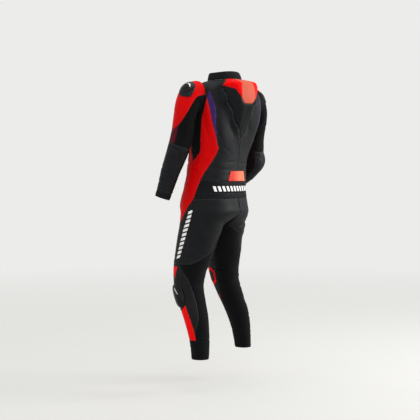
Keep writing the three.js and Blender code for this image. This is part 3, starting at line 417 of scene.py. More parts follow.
tailFront = seamLine([[779, 0.2], [850, 0.185], [915, 0.195]])
legCuffTop = 250
calfLow = 262
thighTop = 779


def crotchLine(u):
    share = np.clip((u - outerShare) / (1 - outerShare), 0, 1)
    return 842 - 44 * np.sin(math.pi * share) ** 0.7


# Sleeves: u = 0 is the underarm, 0.25 the back, 0.5 the outside, 0.75 the front.
underarm = 0.12
elbowFront = 0.47
sleeveCuffTop = 605
shoulderHem = seamLine([
    [0.255, -10], [0.272, 60], [0.3, 110], [0.349, 198], [0.4, 248], [0.449, 280], [0.52, 302], [0.6, 315],
    [0.7, 318], [0.8, 306], [0.88, 288],
])
elbowLow = seamLine([[0.3, 380], [0.47, 376], [0.65, 372], [0.9, 362]])
print("forms ready")


# Cuts a grid of cells over (u, s) along seams, each a function that is zero on its seam, in millimetres.
def cutPattern(us, ss, roundMm, seams, snapMm):
    grid = np.stack(np.meshgrid(us, ss), -1).reshape(-1, 2)
    columns = len(us)
    corner = (np.arange(len(ss) - 1)[:, None] * columns + np.arange(columns - 1)[None]).ravel()
    quads = np.stack([corner, corner + 1, corner + 1 + columns, corner + columns], 1)
    rings = []
    points = grid
    fixed = np.zeros(len(points), bool)
    edgeOfGrid = (grid[:, 0] == us[0]) | (grid[:, 0] == us[-1]) | (grid[:, 1] == ss[0]) | (grid[:, 1] == ss[-1])
    for zero, within in seams:
        u = points[:, 0]
        s = points[:, 1]
        near = within(u, s)
        value = np.where(near, zero(u, s), np.nan)
        du = 0.5 / roundMm
        gu = zero(u + du, s) - zero(u - du, s)
        gs = zero(u, s + 0.5) - zero(u, s - 0.5)
        steep = np.hypot(gu, gs) + 1e-9
        away = value / steep
        locked = fixed | (edgeOfGrid if len(edgeOfGrid) == len(points) else np.concatenate(
            [edgeOfGrid, np.zeros(len(points) - len(edgeOfGrid), bool)]))
        with np.errstate(invalid="ignore"):
            move = near & ~locked & (np.abs(away) < snapMm)
            hold = near & locked & (np.abs(away) < snapMm * 0.45)
        points[move, 0] -= (away * gu / steep / roundMm)[move]
        points[move, 1] -= (away * gs / steep)[move]
        value[move | hold] = 0
        fixed = fixed | (value == 0)
        corners = value[quads]
        with np.errstate(invalid="ignore"):
            crossing = (np.nanmin(np.where(np.isnan(corners), 0, corners), 1) < 0) & (
                np.nanmax(np.where(np.isnan(corners), 0, corners), 1) > 0)
        rings += [list(ring) for ring in quads[crossing]]
        quads = quads[~crossing]
        values = list(value)
        added = []
        cuts = {}
        kept = []
        for ring in rings:
            full = []
            for k, a in enumerate(ring):
                b = ring[(k + 1) % len(ring)]
                full.append(a)
                va = values[a]
                vb = values[b]
                if math.isnan(va) or math.isnan(vb) or va * vb >= 0:
                    continue
                key = (a, b) if a < b else (b, a)
                if key not in cuts:
                    low = points[key[0]]
                    high = points[key[1]]
                    lowValue = values[key[0]]
                    for _ in range(14):
                        middle = (low + high) / 2
                        v = float(zero(middle[0:1], middle[1:2])[0])
                        if v * lowValue > 0:
                            low = middle
                        else:
                            high = middle
                    cuts[key] = len(values)
                    values.append(0.0)
                    added.append((low + high) / 2)
                full.append(cuts[key])
            on = [k for k, a in enumerate(full) if values[a] == 0]
            if len(on) != 2 or on[1] - on[0] < 2 or on[1] - on[0] > len(full) - 2:
                kept.append(full)
                continue
            p, q = on
            halves = [full[p:q + 1], full[q:] + full[:p + 1]]
            sides = [next((values[a] for a in half if values[a] and not math.isnan(values[a])), 0) for half in halves]
            if sides[0] * sides[1] < 0:
                kept += halves
            else:
                kept.append(full)
        rings = kept
        if added:
            points = np.concatenate([points, np.array(added)])
            fixed = np.concatenate([fixed, np.ones(len(added), bool)])
    return points, quads, rings


def ringMiddles(points, quads, rings):
    middles = points[quads].mean(1)
    extra = np.array([points[ring].mean(0) for ring in rings]).reshape(-1, 2)
    return np.concatenate([middles, extra])


# Creases laid over the form: middle u and s, half length and width in mm, depth, angle from level, bow.
creaseColumns = "u s long wide depth angle bow"
torsoCreases = table(creaseColumns, [
    [0.10, 1052, 62, 7, 1.9, 6, 0.0012],
    [0.055, 1088, 50, 6, 1.3, -5, -0.001],
    [0.20, 1092, 58, 8, 2.2, 24, 0.001],
    [0.265, 1046, 52, 7, 2.0, 34, 0.0008],
    [0.17, 1128, 48, 6, 1.2, 30, 0.0015],
    [0.155, 1300, 46, 6, 1.4, 68, 0.001],
    [0.185, 1240, 60, 7, 1.5, 76, -0.0008],
    [0.118, 1215, 55, 6, 1.1, 66, 0.0006],
    [0.09, 1150, 52, 7, 1.2, 40, 0.0012],
    [0.135, 1412, 34, 5, 1.4, 44, 0],
    [0.29, 1170, 46, 6, 1.5, 58, 0],
    [0.36, 1080, 60, 8, 2.0, 14, 0.001],
    [0.43, 1120, 56, 8, 1.8, -6, 0.0012],
    [0.40, 1000, 64, 9, 2.4, 4, 0.001],
    [0.38, 1330, 48, 8, 1.8, 52, 0],
    [0.34, 1250, 48, 7, 1.4, 66, 0],
])
legCreases = table(creaseColumns, [
    [0.60, 770, 54, 7, 2.6, -18, 0.002],
    [0.52, 806, 46, 7, 1.8, -28, 0.0015],
    [0.66, 735, 40, 6, 1.6, -30, 0.001],
    [0.40, 842, 60, 9, 1.7, -30, 0.001],
    [0.30, 800, 55, 8, 1.6, -44, 0],
    [0.16, 790, 50, 7, 2.4, 30, 0.001],
    [0.08, 760, 44, 7, 2.0, 36, 0.001],
    [0.46, 665, 62, 8, 1.5, -34, 0.0008],
    [0.34, 640, 58, 7, 1.6, -24, 0.001],
    [0.22, 630, 46, 6, 1.5, 12, 0.001],
    [0.64, 590, 46, 6, 2.2, 8, 0.0015],
    [0.58, 538, 56, 7, 2.8, -6, 0.0012],
    [0.66, 520, 40, 5, 1.8, 12, 0.001],
    [0.54, 474, 50, 6, 2.0, 10, 0.001],
    [0.48, 520, 34, 5, 1.6, -30, 0],
    [0.44, 590, 40, 6, 1.6, -22, 0.001],
    [0.08, 560, 44, 6, 1.6, 4, 0.001],
    [0.04, 500, 36, 6, 1.4, -8, 0.001],
    [0.60, 370, 50, 6, 1.4, 6, 0.001],
    [0.52, 320, 44, 6, 1.5, -8, 0.001],
    [0.40, 290, 36, 5, 1.6, 6, 0.001],
    [0.62, 282, 40, 5, 1.7, 0, 0.001],
    [0.25, 276, 36, 5, 1.3, -4, 0.001],
    [0.85, 560, 42, 6, 1.8, 6, 0.001],
    [0.84, 500, 44, 6, 2.0, -4, 0.001],
    [0.86, 660, 50, 7, 1.6, 20, 0],
    [0.90, 390, 40, 6, 1.3, 0, 0],
    [0.50, 226, 60, 5, 1.2, 3, 0],
    [0.20, 208, 60, 5, 1.2, -4, 0],
    [0.80, 216, 60, 5, 1.2, 2, 0],
])
sleeveCreases = table(creaseColumns, [
    [0.20, 90, 36, 6, 2.2, 40, 0],
    [0.26, 150, 40, 6, 2.2, 32, 0.001],
    [0.16, 200, 36, 6, 1.8, 24, 0.001],
    [0.40, 150, 44, 8, 1.2, 60, 0],
    [0.34, 262, 34, 6, 1.5, -18, 0.001],
    [0.20, 318, 34, 5, 1.6, -12, 0.001],
    [0.30, 352, 34, 5, 1.8, -20, 0.001],
    [0.52, 330, 26, 4, 1.4, 6, 0.001],
    [0.55, 346, 26, 4, 1.4, 4, 0.001],
    [0.60, 360, 26, 4, 1.3, 0, 0.001],
    [0.80, 398, 40, 6, 2.6, 0, 0.0015],
    [0.84, 444, 36, 6, 2.2, 8, 0.0015],
    [0.92, 420, 30, 5, 1.8, 0, 0.001],
    [0.22, 410, 32, 6, 1.4, 22, 0.001],
    [0.66, 500, 36, 6, 1.4, 20, 0.001],
    [0.30, 540, 36, 6, 1.6, -14, 0.001],
    [0.62, 565, 34, 6, 1.6, 10, 0.001],
    [0.14, 585, 34, 5, 1.5, 6, 0.001],
    [0.72, 220, 40, 7, 1.6, -24, 0],
    [0.70, 130, 40, 8, 1.6, -40, 0],
])
collarCreases = table(creaseColumns, [
    [0.1, 20, 24, 4, 0.8, 70, 0],
    [-0.16, 22, 24, 4, 0.8, -66, 0],
    [0.3, 18, 24, 4, 0.9, 80, 0],
    [-0.34, 20, 24, 4, 0.9, -78, 0],
])
rounds = {"torso": 960, "leg": 430, "sleeve": 330, "collar": 480}


def kindOf(formName):
    return formName.replace("Left", "").replace("Right", "")


# How far the outer face stands off the form: creases, and the slow swell of worn leather.
def relief(formName, u, s):
    kind = kindOf(formName)
    rows = {"torso": torsoCreases, "leg": legCreases, "sleeve": sleeveCreases, "collar": collarCreases}[kind]
    side = -1 if formName.endswith("Right") else 1
    at = np.abs(u) if kind == "torso" else u
    mirror = np.where(u < 0, 1.0, 0.0) if kind == "torso" else np.full_like(u, 0.0 if side > 0 else 1.0)
    out = np.zeros_like(u)
    for k in range(len(rows["u"])):
        c = {name: values[k] for name, values in rows.items()}
        # the far side has the same creases, a little longer or shorter and moved along
        shift = 9 * math.sin(3.1 * k + 1) * mirror
        size = 1 + 0.25 * math.sin(1.7 * k) * mirror
        away = at - c["u"]
        if kind in ("leg", "sleeve"):
            away = (away + 0.5) % 1 - 0.5
        x = away * rounds[kind]
        y = s - c["s"] - shift
        a = math.radians(c["angle"])
        along = x * math.cos(a) + y * math.sin(a)
        across = -x * math.sin(a) + y * math.cos(a) - c["bow"] * along * along
        b = across / c["wide"]
        trough = np.exp(-b * b) - 0.42 * np.exp(-(b - 1.75) ** 2) - 0.42 * np.exp(-(b + 1.75) ** 2)
        out -= c["depth"] * size * bump(along / (c["long"] * size)) * trough
    x = at * rounds[kind]
    swell = 0.35 * np.sin(x / 23 + s / 31 + 2 * mirror) + 0.3 * np.sin(x / 17 - s / 41 + 1.3)
    swell += 0.22 * np.sin(x / 11 + s / 13 + 4 * mirror) * np.sin(s / 37)
    return out + swell


def seamDip(d):
    return 0.5 * (1 - np.exp(-(d / 8) ** 2)) - 0.7 * np.exp(-(d / 1.9) ** 2)


def newObject(name, vertices, faces, smooth=True):
    mesh = bpy.data.meshes.new(name)
    mesh.from_pydata(vertices, [], faces)
    mesh.update()
    piece = bpy.data.objects.new(name, mesh)
    scene.collection.objects.link(piece)
    if smooth:
        mesh.polygons.foreach_set("use_smooth", [True] * len(mesh.polygons))
    return piece


def toFrame(p):
    return (p - np.array([0, 0, shoulderHeight])) / 1000


rims = {}
panels = {}
formOf = {}
threads = []


# Lays the cells of one panel on its form, with an inner face one wall below and closed edges.
def layPanel(name, formName, points, quads, rings, rimGap=None):
    form, sign = forms[formName]
    if sign < 0:
        quads = quads[:, ::-1]
        rings = [ring[::-1] for ring in rings]
    starts = [quads[:, k] for k in range(4)] + [np.array([r[k] for r in rings for k in range(len(r))], int)]
    ends = [quads[:, (k + 1) % 4] for k in range(4)] + [
        np.array([r[(k + 1) % len(r)] for r in rings for k in range(len(r))], int)]
    start = np.concatenate(starts)
    end = np.concatenate(ends)
    big = len(points)
    rim = ~np.isin(start.astype(np.int64) * big + end, end.astype(np.int64) * big + start)
    rimStart = start[rim]
    rimEnd = end[rim]
    used = np.unique(start)
    local = np.full(big, -1)
    local[used] = np.arange(len(used))
    u = points[used, 0]
    s = points[used, 1]
    p = form(u, s)
    n = normals(form, sign, u, s)
    a = local[rimStart]
    b = local[rimEnd]
    along = p[b] - p[a]
    ways = np.zeros_like(p)
    number = np.zeros(len(p))
    for i in (a, b):
        inward = np.cross(n[i], along)
        inward /= np.linalg.norm(inward, axis=1)[:, None] + 1e-9
        np.add.at(ways, i, inward)
        np.add.at(number, i, 1)
    size = np.linalg.norm(ways, axis=1)
    onRim = size > 1e-6
    mitre = np.zeros(len(p))
    mitre[onRim] = np.minimum(number[onRim] / size[onRim], 3)
    inwards = np.zeros_like(p)
    inwards[onRim] = ways[onRim] / size[onRim][:, None]
    gap = np.full(len(p), seamGap / 2) if rimGap is None else rimGap(u, s)
    p = p + inwards * (gap * mitre)[:, None]
    tree = kdtree.KDTree(int(onRim.sum()))
    for i in np.nonzero(onRim)[0]:
        tree.insert(Vector(p[i]), int(i))
    tree.balance()
    d = np.array([tree.find(Vector(q))[2] for q in p])
    outer = p + n * (relief(formName, u, s) * np.clip(d / 6, 0.25, 1) + seamDip(d))[:, None]
    inner = p - n * wall
    count = len(p)
    faces = [list(map(int, local[q])) for q in quads] + [[int(local[i]) for i in r] for r in rings]
    back = [[i + count for i in reversed(f)] for f in faces]
    edge = [[int(i), int(i) + count, int(j) + count, int(j)] for i, j in zip(a, b)]
    piece = newObject(name + "_cloth", toFrame(np.concatenate([outer, inner])).tolist(), faces + back + edge)
    near = np.exp(-d / 3.5)
    piece.data.attributes.new("rimNear", "FLOAT", "POINT").data.foreach_set("value", np.concatenate([near, near]))
    uv = piece.data.uv_layers.new(name="cut")
    flat = np.stack([u * rounds[kindOf(formName)] / 1000, s / 1000], 1)
    both = np.concatenate([flat, flat])
    loops = np.zeros(len(piece.data.loops), int)
    piece.data.loops.foreach_get("vertex_index", loops)
    uv.data.foreach_set("uv", both[loops].ravel())
    material = np.zeros(len(piece.data.polygons), int)
    material[len(faces):len(faces) + len(back)] = 1
    piece.data.polygons.foreach_set("material_index", material)
    formOf[name] = formName
    rims[name] = {"a": a, "b": b, "p": outer, "n": n, "inward": inwards}
    # a fitted panel is cut to the size it has when worn, so its cut is its outer face laid flat
    patternArea = 0.0
    for ring in [points[q] for q in quads] + [points[r] for r in rings]:
        x = ring[:, 0] * rounds[kindOf(formName)] / 1000
        y = ring[:, 1] / 1000
        patternArea += abs(np.dot(x, np.roll(y, -1)) - np.dot(y, np.roll(x, -1))) / 2
    area = sum(piece.data.polygons[i].area for i in range(len(faces)))
    grown = math.sqrt(area / patternArea)
    wide = float(np.ptp(flat[:, 0])) * grown
    tall = float(np.ptp(flat[:, 1])) * grown
    if area < 0.35 * wide * tall:
        wide = area / (0.55 * tall)
    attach(piece, "suit")
    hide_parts(name)
    panels[name] = piece
    return piece


def layPattern(formName, pattern, labels, names, rimGap=None):
    points, quads, rings = pattern
    middles = ringMiddles(points, quads, rings)
    code = labels(middles[:, 0], middles[:, 1])
    for k, name in enumerate(names):
        own = np.nonzero(code == k)[0]
        ownQuads = quads[own[own < len(quads)]]
        ownRings = [rings[i - len(quads)] for i in own if i >= len(quads)]
        layPanel(name, formName, points, ownQuads, ownRings, rimGap)


cellMm = 5.0


def steps(low, high, size, must=()):
    marks = [low, *sorted(must), high]
    values = []
    for a, b in zip(marks[:-1], marks[1:]):
        n = max(1, round((b - a) / size))
        values += list(np.linspace(a, b, n + 1)[:-1])
    return np.array(values + [high])


def rowsBetween(low, high):
    return lambda u, s: (s >= low - 1e-6) & (s <= high + 1e-6)


def torsoSeam(seam, low, high):
    return (lambda u, s: (np.abs(u) - seam(s)) * rounds["torso"], rowsBetween(low, high))


def inArmhole(a, s):
    return np.hypot((a - armhole["u"]) / armhole["halfShare"], (s - armhole["height"]) / armhole["halfTall"])


torsoPattern = cutPattern(
    steps(-0.5, 0.5, cellMm / rounds["torso"], [0]),
    steps(915, 1482, cellMm, [stripTop, bandTop, flashCorner, purpleLow, 1190, 1393, flashTop]),
    rounds["torso"],
    [
        (lambda u, s: (inArmhole(np.abs(u), s) - 1) * armhole["halfTall"], lambda u, s: s > 0),
        torsoSeam(humpFoot, 1190, 1482),
        (lambda u, s: s - capEdge(np.abs(u)), lambda u, s: (np.abs(u) < 0.112) & (s > 1340)),
        torsoSeam(flashInner, 915, flashTop),
        torsoSeam(purpleInner, purpleLow, flashTop),
        torsoSeam(flashOuter, 915, 1393),
        torsoSeam(frontEdge, 915, 1335),
        torsoSeam(sideInset, 1080, 1190),
        (lambda u, s: (np.abs(u) - 0.25) * rounds["torso"], lambda u, s: s > 1455),
    ],
    1.6,
)
torsoNames = [
    "hump_cap", "hump_body", "waist_strip", "waist_band", "purple_stripe_left", "purple_stripe_right", "back_left",
    "back_right", "front_left", "front_right", "flash_left", "flash_right", "flank_inset_left", "flank_inset_right",
    "side_stretch_left", "side_stretch_right",
]


def torsoLabels(u, s):
    a = np.abs(u)
    right = (u < 0).astype(int)
    inner = flashInner(s)
    onHump = (s > 1190) & (a < humpFoot(s))
    return np.select([
        inArmhole(a, s) < 1,
        onHump & (s > capEdge(a)),
        onHump,
        (s < stripTop) & (a < inner),
        (s < bandTop) & (a < inner),
        (s < flashTop) & (a < inner) & (s > purpleLow) & (a > purpleInner(s)),
        (s < flashTop) & (a < inner),
        (s > 1393) & (a < 0.25),
        (s > 1393),
        a < flashOuter(s),
        a > frontEdge(s),
        (s < 1092) | ((s < insetTip) & (a > sideInset(s))),
    ], [-1, 0, 1, 2, 3, 4 + right, 6 + right, 6 + right, 8 + right, 10 + right, 8 + right, 12 + right], 14 + right)


layPattern("torso", torsoPattern, torsoLabels, torsoNames)
print("torso panels")


def legSeam(seam, low, high):
    return (lambda u, s: (u - seam(s)) * rounds["leg"], rowsBetween(low, high))


legPattern = cutPattern(
    steps(-0.12, 1.06, cellMm / rounds["leg"], [0, 0.75, 1]),
    steps(160, 915, cellMm, [legCuffTop, calfLow, 530, 588, thighTop, 842]),
    rounds["leg"],
    [
        legSeam(inseam, 160, 842),
        (lambda u, s: (u - 1 - inseam(s)) * rounds["leg"], lambda u, s: (u > 0.8) & (s <= 842.01)),
        (lambda u, s: s - crotchLine(u), lambda u, s: (u > 0.74) & (s > 780)),
        (lambda u, s: (u - seatInner(s)) * rounds["leg"], lambda u, s: (s > 615) & (s < 792)),
        (lambda u, s: s - thighHem(u), lambda u, s: (u < 0.645) & (s > 540) & (s < 720)),
        legSeam(kneeOuter, 250, 588),
        legSeam(calfEdge, calfLow, 588),
        legSeam(accentFront, 530, 588),
        legSeam(accentBack, 530, 588),
        (lambda u, s: s - shinTop(u), lambda u, s: (u < 0.39) & (s > 330) & (s < 460)),
        (lambda u, s: (u - tailBack(s)) * rounds["leg"], lambda u, s: s >= thighTop),
        (lambda u, s: (u - tailFront(s)) * rounds["leg"], lambda u, s: s >= thighTop),
    ],
    1.6,
)
legNames = ["thigh_tail", "leg_cuff", "seat_thigh", "leg_stretch", "knee_accent", "knee", "shin", "calf_panel"]


def legLabels(u, s):
    none = (u < inseam(s)) | (u > 1 + inseam(s)) | ((u > outerShare) & ((s > crotchLine(u)) | ((u > 1) & (s > 700))))
    inAccent = (s > 530) & (s < 588) & (s < thighHem(u)) & (u > accentFront(s)) & (u < accentBack(s))
    outside = (s < 600) & (u < kneeOuter(s))
    return np.select([
        none,
        (s > thighTop) & (u > tailFront(s)) & (u < tailBack(s)),
        s < legCuffTop,
        (s > 600) & (s > thighHem(u)) & (u < seatInner(s)),
        (s > 780) & (u <= outerShare),
        (s < calfLow) & (u > 0.385),
        inAccent,
        outside & (s > shinTop(u)),
        outside,
        (s < 600) & (s > calfLow) & (u < calfEdge(s)),
    ], [-1, 0, 1, 2, 2, 3, 4, 5, 6, 7], 3)


for formName, side in (("legLeft", "_left"), ("legRight", "_right")):
    layPattern(formName, legPattern, legLabels, [name + side for name in legNames])
print("leg panels")

# The right arm is turned in, and the red shoulder goes round with it.
armTurn = {"_left": 0, "_right": 0.1}


def sleevePattern(turn):
    return cutPattern(
        steps(-underarm, 1 - underarm, cellMm / rounds["sleeve"], [underarm]),
        steps(0, 635, cellMm, [sleeveCuffTop]),
        rounds["sleeve"],
        [
            (lambda u, s: s - shoulderHem(u - turn), lambda u, s: u > 0.24 + turn),
            (lambda u, s: (u - elbowFront) * rounds["sleeve"], lambda u, s: (s > 270) & (s < 380)),
            (lambda u, s: s - elbowLow(u), lambda u, s: (u > 0.1) & (s > 300) & (s < 420)),
        ],
        1.6,
    )


sleeveNames = ["sleeve_cuff", "sleeve_under", "shoulder", "forearm", "elbow_stretch", "upper_sleeve"]


def sleeveLabels(turn):
    return lambda u, s: np.select([
        s > sleeveCuffTop,
        u < underarm,
        (u > 0.255 + turn) & (s < shoulderHem(u - turn)),
        s > elbowLow(u),
        u > elbowFront,
    ], [0, 1, 2, 3, 4], 5)


def sleeveGap(u, s):
    return np.where(s < 1, 0.3, seamGap / 2)


for formName, side in (("sleeveLeft", "_left"), ("sleeveRight", "_right")):
    turn = armTurn[side]
    layPattern(formName, sleevePattern(turn), sleeveLabels(turn), [name + side for name in sleeveNames], sleeveGap)
print("sleeve panels")

collarTop = 38
collarPattern = cutPattern(
    steps(-0.5, 0.5, cellMm / rounds["torso"], [0]), steps(0, collarTop, 3), rounds["collar"], [], 1)
layPattern("collar", collarPattern, lambda u, s: np.zeros(len(u), int), ["collar"])
print("collar")


# Pads: a disc of rings, laid over a form. at: middle in u and s; half: half sizes; heights: share out, height in mm.
def oval(sides, power):
    a = np.arange(sides) * 2 * math.pi / sides
    c = np.cos(a)
    s = np.sin(a)
    r = (np.abs(c) ** power + np.abs(s) ** power) ** (-1 / power)
    return np.stack([c * r, s * r], 1)


def polygon(corners, cuts):
    corners = np.array(corners, float)
    after = np.roll(corners, -1, 0)
    return np.concatenate([corners[k] + (after[k] - corners[k]) * np.arange(cuts)[:, None] / cuts
                           for k in range(len(corners))])


# An outline given its half sizes in mm and leaned over, for a pad whose half is one millimetre.
def leaning(outline, wide, long, degrees):
    a = math.radians(degrees)
    x = outline[:, 0] * wide
    y = outline[:, 1] * long
    return np.stack([x * math.cos(a) - y * math.sin(a), x * math.sin(a) + y * math.cos(a)], 1)


def outlineShare(outline, x, y):
    share = np.zeros_like(x)
    for k in range(len(outline)):
        a = outline[k]
        b = outline[(k + 1) % len(outline)]
        out = np.array([b[1] - a[1], a[0] - b[0]])
        share = np.maximum(share, (x * out[0] + y * out[1]) / np.dot(a, out))
    return share


def padLift(pad, u, s):
    x = (u - pad["at"][0]) / pad["half"][0]
    y = (s - pad["at"][1]) / pad["half"][1]
    share, height = np.array(pad["heights"], float).T
    lift = pad["base"] + np.interp(outlineShare(pad["outline"], x, y), share, height)
    if "on" in pad:
        lift = lift + padLift(pad["on"], u, s) - pad.get("sunk", 0)
    return lift


insetStep = 0.02


def laidPad(name, formName, pad):
    form, sign = forms[formName]
    outline = pad["outline"]
    sides = len(outline)
    shares = pad["rings"]
    bpy.ops.object.select_all(action="DESELECT")
    bpy.ops.mesh.primitive_circle_add(vertices=sides, radius=1, fill_type="NGON")
    piece = bpy.context.object
    piece.name = name + "_pad"
    bpy.ops.object.mode_set(mode="EDIT")
    bpy.ops.mesh.select_all(action="SELECT")
    for _ in shares[1:]:
        bpy.ops.mesh.inset(thickness=insetStep)
    bpy.ops.mesh.poke()
    bpy.ops.mesh.select_all(action="SELECT")
    bpy.ops.mesh.extrude_region_move(TRANSFORM_OT_translate={"value": (0, 0, 1)})
    bpy.ops.object.mode_set(mode="OBJECT")
    mesh = piece.data
    flat = np.zeros(len(mesh.vertices) * 3)
    mesh.vertices.foreach_get("co", flat)
    flat = flat.reshape(-1, 3)
    r = np.hypot(flat[:, 0], flat[:, 1])
    ring = np.clip(np.round((1 - r) / (insetStep / math.cos(math.pi / sides))), 0, len(shares) - 1).astype(int)
    share = np.where(r < 0.01, 0, np.array(shares)[ring])
    spoke = np.round(np.arctan2(flat[:, 1], flat[:, 0]) / (2 * math.pi) * sides).astype(int) % sides
    u = pad["at"][0] + outline[spoke, 0] * share * pad["half"][0]
    s = pad["at"][1] + outline[spoke, 1] * share * pad["half"][1]
    top = flat[:, 2] > 0.5
    foot = pad.get("foot", pad["base"])
    if "on" in pad:
        foot = padLift(pad["on"], u, s) - pad.get("sunk", 0)
    lift = np.where(top, padLift(pad, u, s), foot)
    p = form(u, s) + normals(form, sign, u, s) * lift[:, None]
    mesh.vertices.foreach_set("co", toFrame(p).ravel())
    mesh.update()
    bpy.ops.object.mode_set(mode="EDIT")
    bpy.ops.mesh.select_all(action="SELECT")
    bpy.ops.mesh.normals_make_consistent(inside=False)
    bpy.ops.object.mode_set(mode="OBJECT")
    mesh.attributes.new("rimNear", "FLOAT", "POINT").data.foreach_set(
        "value", np.exp(-(1 - share) * np.mean(pad["half"][1]) / 3.5))
    mesh.polygons.foreach_set("use_smooth", [True] * len(mesh.polygons))
    piece.select_set(True)
    bpy.ops.object.shade_smooth_by_angle(angle=math.radians(38))
    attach(piece, "suit")
    return piece


kneeSlider = {
    "at": (0.26, 452), "half": (0.1, 55), "base": 0.5, "outline": oval(64, 2.5),
    "rings": [1, 0.985, 0.95, 0.91, 0.87, 0.85, 0.83, 0.81, 0.79, 0.7, 0.6, 0.5, 0.38, 0.26, 0.13],
    "heights": [[0, 13], [0.26, 12.9], [0.5, 12.4], [0.7, 11.3], [0.79, 10.4], [0.81, 9.2], [0.83, 8.9], [0.85, 9.1],
                [0.87, 8.6], [0.91, 7.2], [0.95, 5.4], [0.985, 3.2], [1, 1.8]],
}
kneeSlot = {
    "at": (0.281, 474), "half": (1 / rounds["leg"], 1), "base": 0, "on": kneeSlider, "sunk": 0.6,
    "outline": leaning(oval(32, 3), 2.7, 16.5, 29),
    "rings": [1, 0.9, 0.8, 0.55, 0.25], "heights": [[0, 0.9], [0.55, 0.9], [0.8, 1.1], [0.9, 1.4], [1, 1.1]],
}
shoulderCup = {
    "at": (0.475, 116), "half": (0.105, 44), "base": 0.5, "outline": oval(56, 2.4),
    "rings": [1, 0.985, 0.95, 0.9, 0.86, 0.82, 0.78, 0.72, 0.64, 0.56, 0.44, 0.3, 0.15],
    "heights": [[0, 9], [0.44, 8.7], [0.64, 7.9], [0.72, 7.3], [0.78, 6.8], [0.82, 5.8], [0.86, 5.7], [0.9, 5.2],
                [0.95, 4.1], [0.985, 2.6], [1, 1.6]],
}
shoulderInsert = {
    "at": (0.475, 116), "half": (0.0546, 22.9), "base": 0.5, "outline": oval(48, 2.4), "on": shoulderCup,
    "rings": [1, 0.97, 0.92, 0.86, 0.84, 0.78, 0.76, 0.62, 0.6, 0.52, 0.5, 0.34, 0.32, 0.2],
    "heights": [[0, 3.2], [0.32, 3.1], [0.34, 2.5], [0.5, 2.4], [0.52, 3.0], [0.6, 2.9], [0.62, 2.2], [0.76, 2.1],
                [0.78, 2.7], [0.84, 2.6], [0.86, 2.4], [0.92, 2.2], [0.97, 1.8], [1, 1]],
}
elbowPad = {
    "at": (0.45, 452), "half": (0.105, 56), "base": 0.4, "foot": 0.2, "outline": oval(56, 2.2),
    "rings": [1, 0.97, 0.93, 0.9, 0.87, 0.82, 0.74, 0.64, 0.52, 0.4, 0.27, 0.14],
    "heights": [[0, 8], [0.4, 7.7], [0.64, 6.9], [0.74, 6.1], [0.82, 5.1], [0.87, 4.1], [0.9, 3.5], [0.93, 3.6],
                [0.97, 2.9], [1, 1.5]],
}
kneeGrip = {
    "at": (0.958, 520), "half": (0.055, 47), "base": 0.5,
    "outline": polygon([[0, 1], [-1, 0.55], [-1, -0.55], [0, -1], [1, -0.55], [1, 0.55]], 6),
    "rings": [1, 0.97, 0.92, 0.84, 0.76, 0.72, 0.68, 0.64, 0.5, 0.34, 0.17],
    "heights": [[0, 2.8], [0.5, 2.7], [0.64, 2.3], [0.68, 1.6], [0.72, 1.7], [0.76, 2.8], [0.84, 3.1], [0.92, 2.9],
                [0.97, 2.3], [1, 1.2]],
}
lumbarBadge = {
    "at": (0, 1020), "half": (0.068, 24), "base": 1.2,
    "outline": polygon([[1, -1], [0.8, 1], [-0.8, 1], [-1, -1]], 10),
    "rings": [1, 0.97, 0.93, 0.89, 0.86, 0.83, 0.78, 0.65, 0.5, 0.33, 0.16],
    "heights": [[0, 3.1], [0.65, 3], [0.78, 2.8], [0.83, 2.2], [0.86, 1.9], [0.89, 2.2], [0.93, 2.6], [0.97, 2.2],
                [1, 1.2]],
}

# What each panel and pad is made of, by its name without the side.
finishOf = {
    "hump_cap": "cap_leather", "hump_body": "leather", "waist_strip": "band", "waist_band": "band",
    "purple_stripe": "purple_leather", "back": "leather", "front": "leather", "flash": "red_leather",
    "flank_inset": "red_leather", "side_stretch": "stretch", "thigh_tail": "red_leather", "leg_cuff": "stretch",
    "seat_thigh": "leather", "leg_stretch": "stretch", "knee_accent": "bright_leather", "knee": "leather",
    "shin": "bright_leather", "calf_panel": "grey_leather", "sleeve_cuff": "band", "sleeve_under": "stretch",
    "shoulder": "red_leather", "forearm": "leather", "elbow_stretch": "crimson_stretch", "upper_sleeve": "stretch",
    "collar": "collar_knit", "knee_slider": "slider_plastic", "shoulder_cup": "cup_plastic",
    "shoulder_insert": "light_metal", "elbow_pad": "leather", "knee_grip": "bright_leather",
    "lumbar_badge": "coral_leather", "front_zip": "zip_tape",
}


for name in ("knee_slider", "knee_grip"):
    pad = {"knee_slider": kneeSlider, "knee_grip": kneeGrip}[name]
    for formName, side in (("legLeft", "_left"), ("legRight", "_right")):
        panels[name + side] = laidPad(name + side, formName, pad)
for name, pad in (("shoulder_cup", shoulderCup), ("shoulder_insert", shoulderInsert), ("elbow_pad", elbowPad)):
    for formName, side in (("sleeveLeft", "_left"), ("sleeveRight", "_right")):
        panels[name + side] = laidPad(name + side, formName, pad)
panels["lumbar_badge"] = laidPad("lumbar_badge", "torso", lumbarBadge)
kneeSlots = [laidPad("knee_slot_left", "legLeft", kneeSlot), laidPad("knee_slot_right", "legRight", kneeSlot)]
print("pads")

# The front of the suit: v goes across the middle line, in shares of the torso's round.
waistSeam = 915


def frontForm(v, s):
    above = torsoForm(0.5 + v, np.maximum(s, waistSeam))
    low = np.minimum(s, waistSeam)
    left = forms["legLeft"][0](-1.5 * np.minimum(v, 0), low)
    right = forms["legRight"][0](1.5 * np.maximum(v, 0), low)
    below = np.where((v < 0)[:, None], left, np.where((v > 0)[:, None], right, (left + right) / 2))
    return np.where((s >= waistSeam)[:, None], above, below)


forms["front"] = (frontForm, -1)
frontZip = {"bottom": 848, "top": 1482, "halfShare": 0.0165, "raise": 2.9, "wall": 2.3, "pitch": 3.2, "toothLong": 2.2,
       "toothHigh": 1.5, "toothWide": 1.3, "guard": 0.0105}


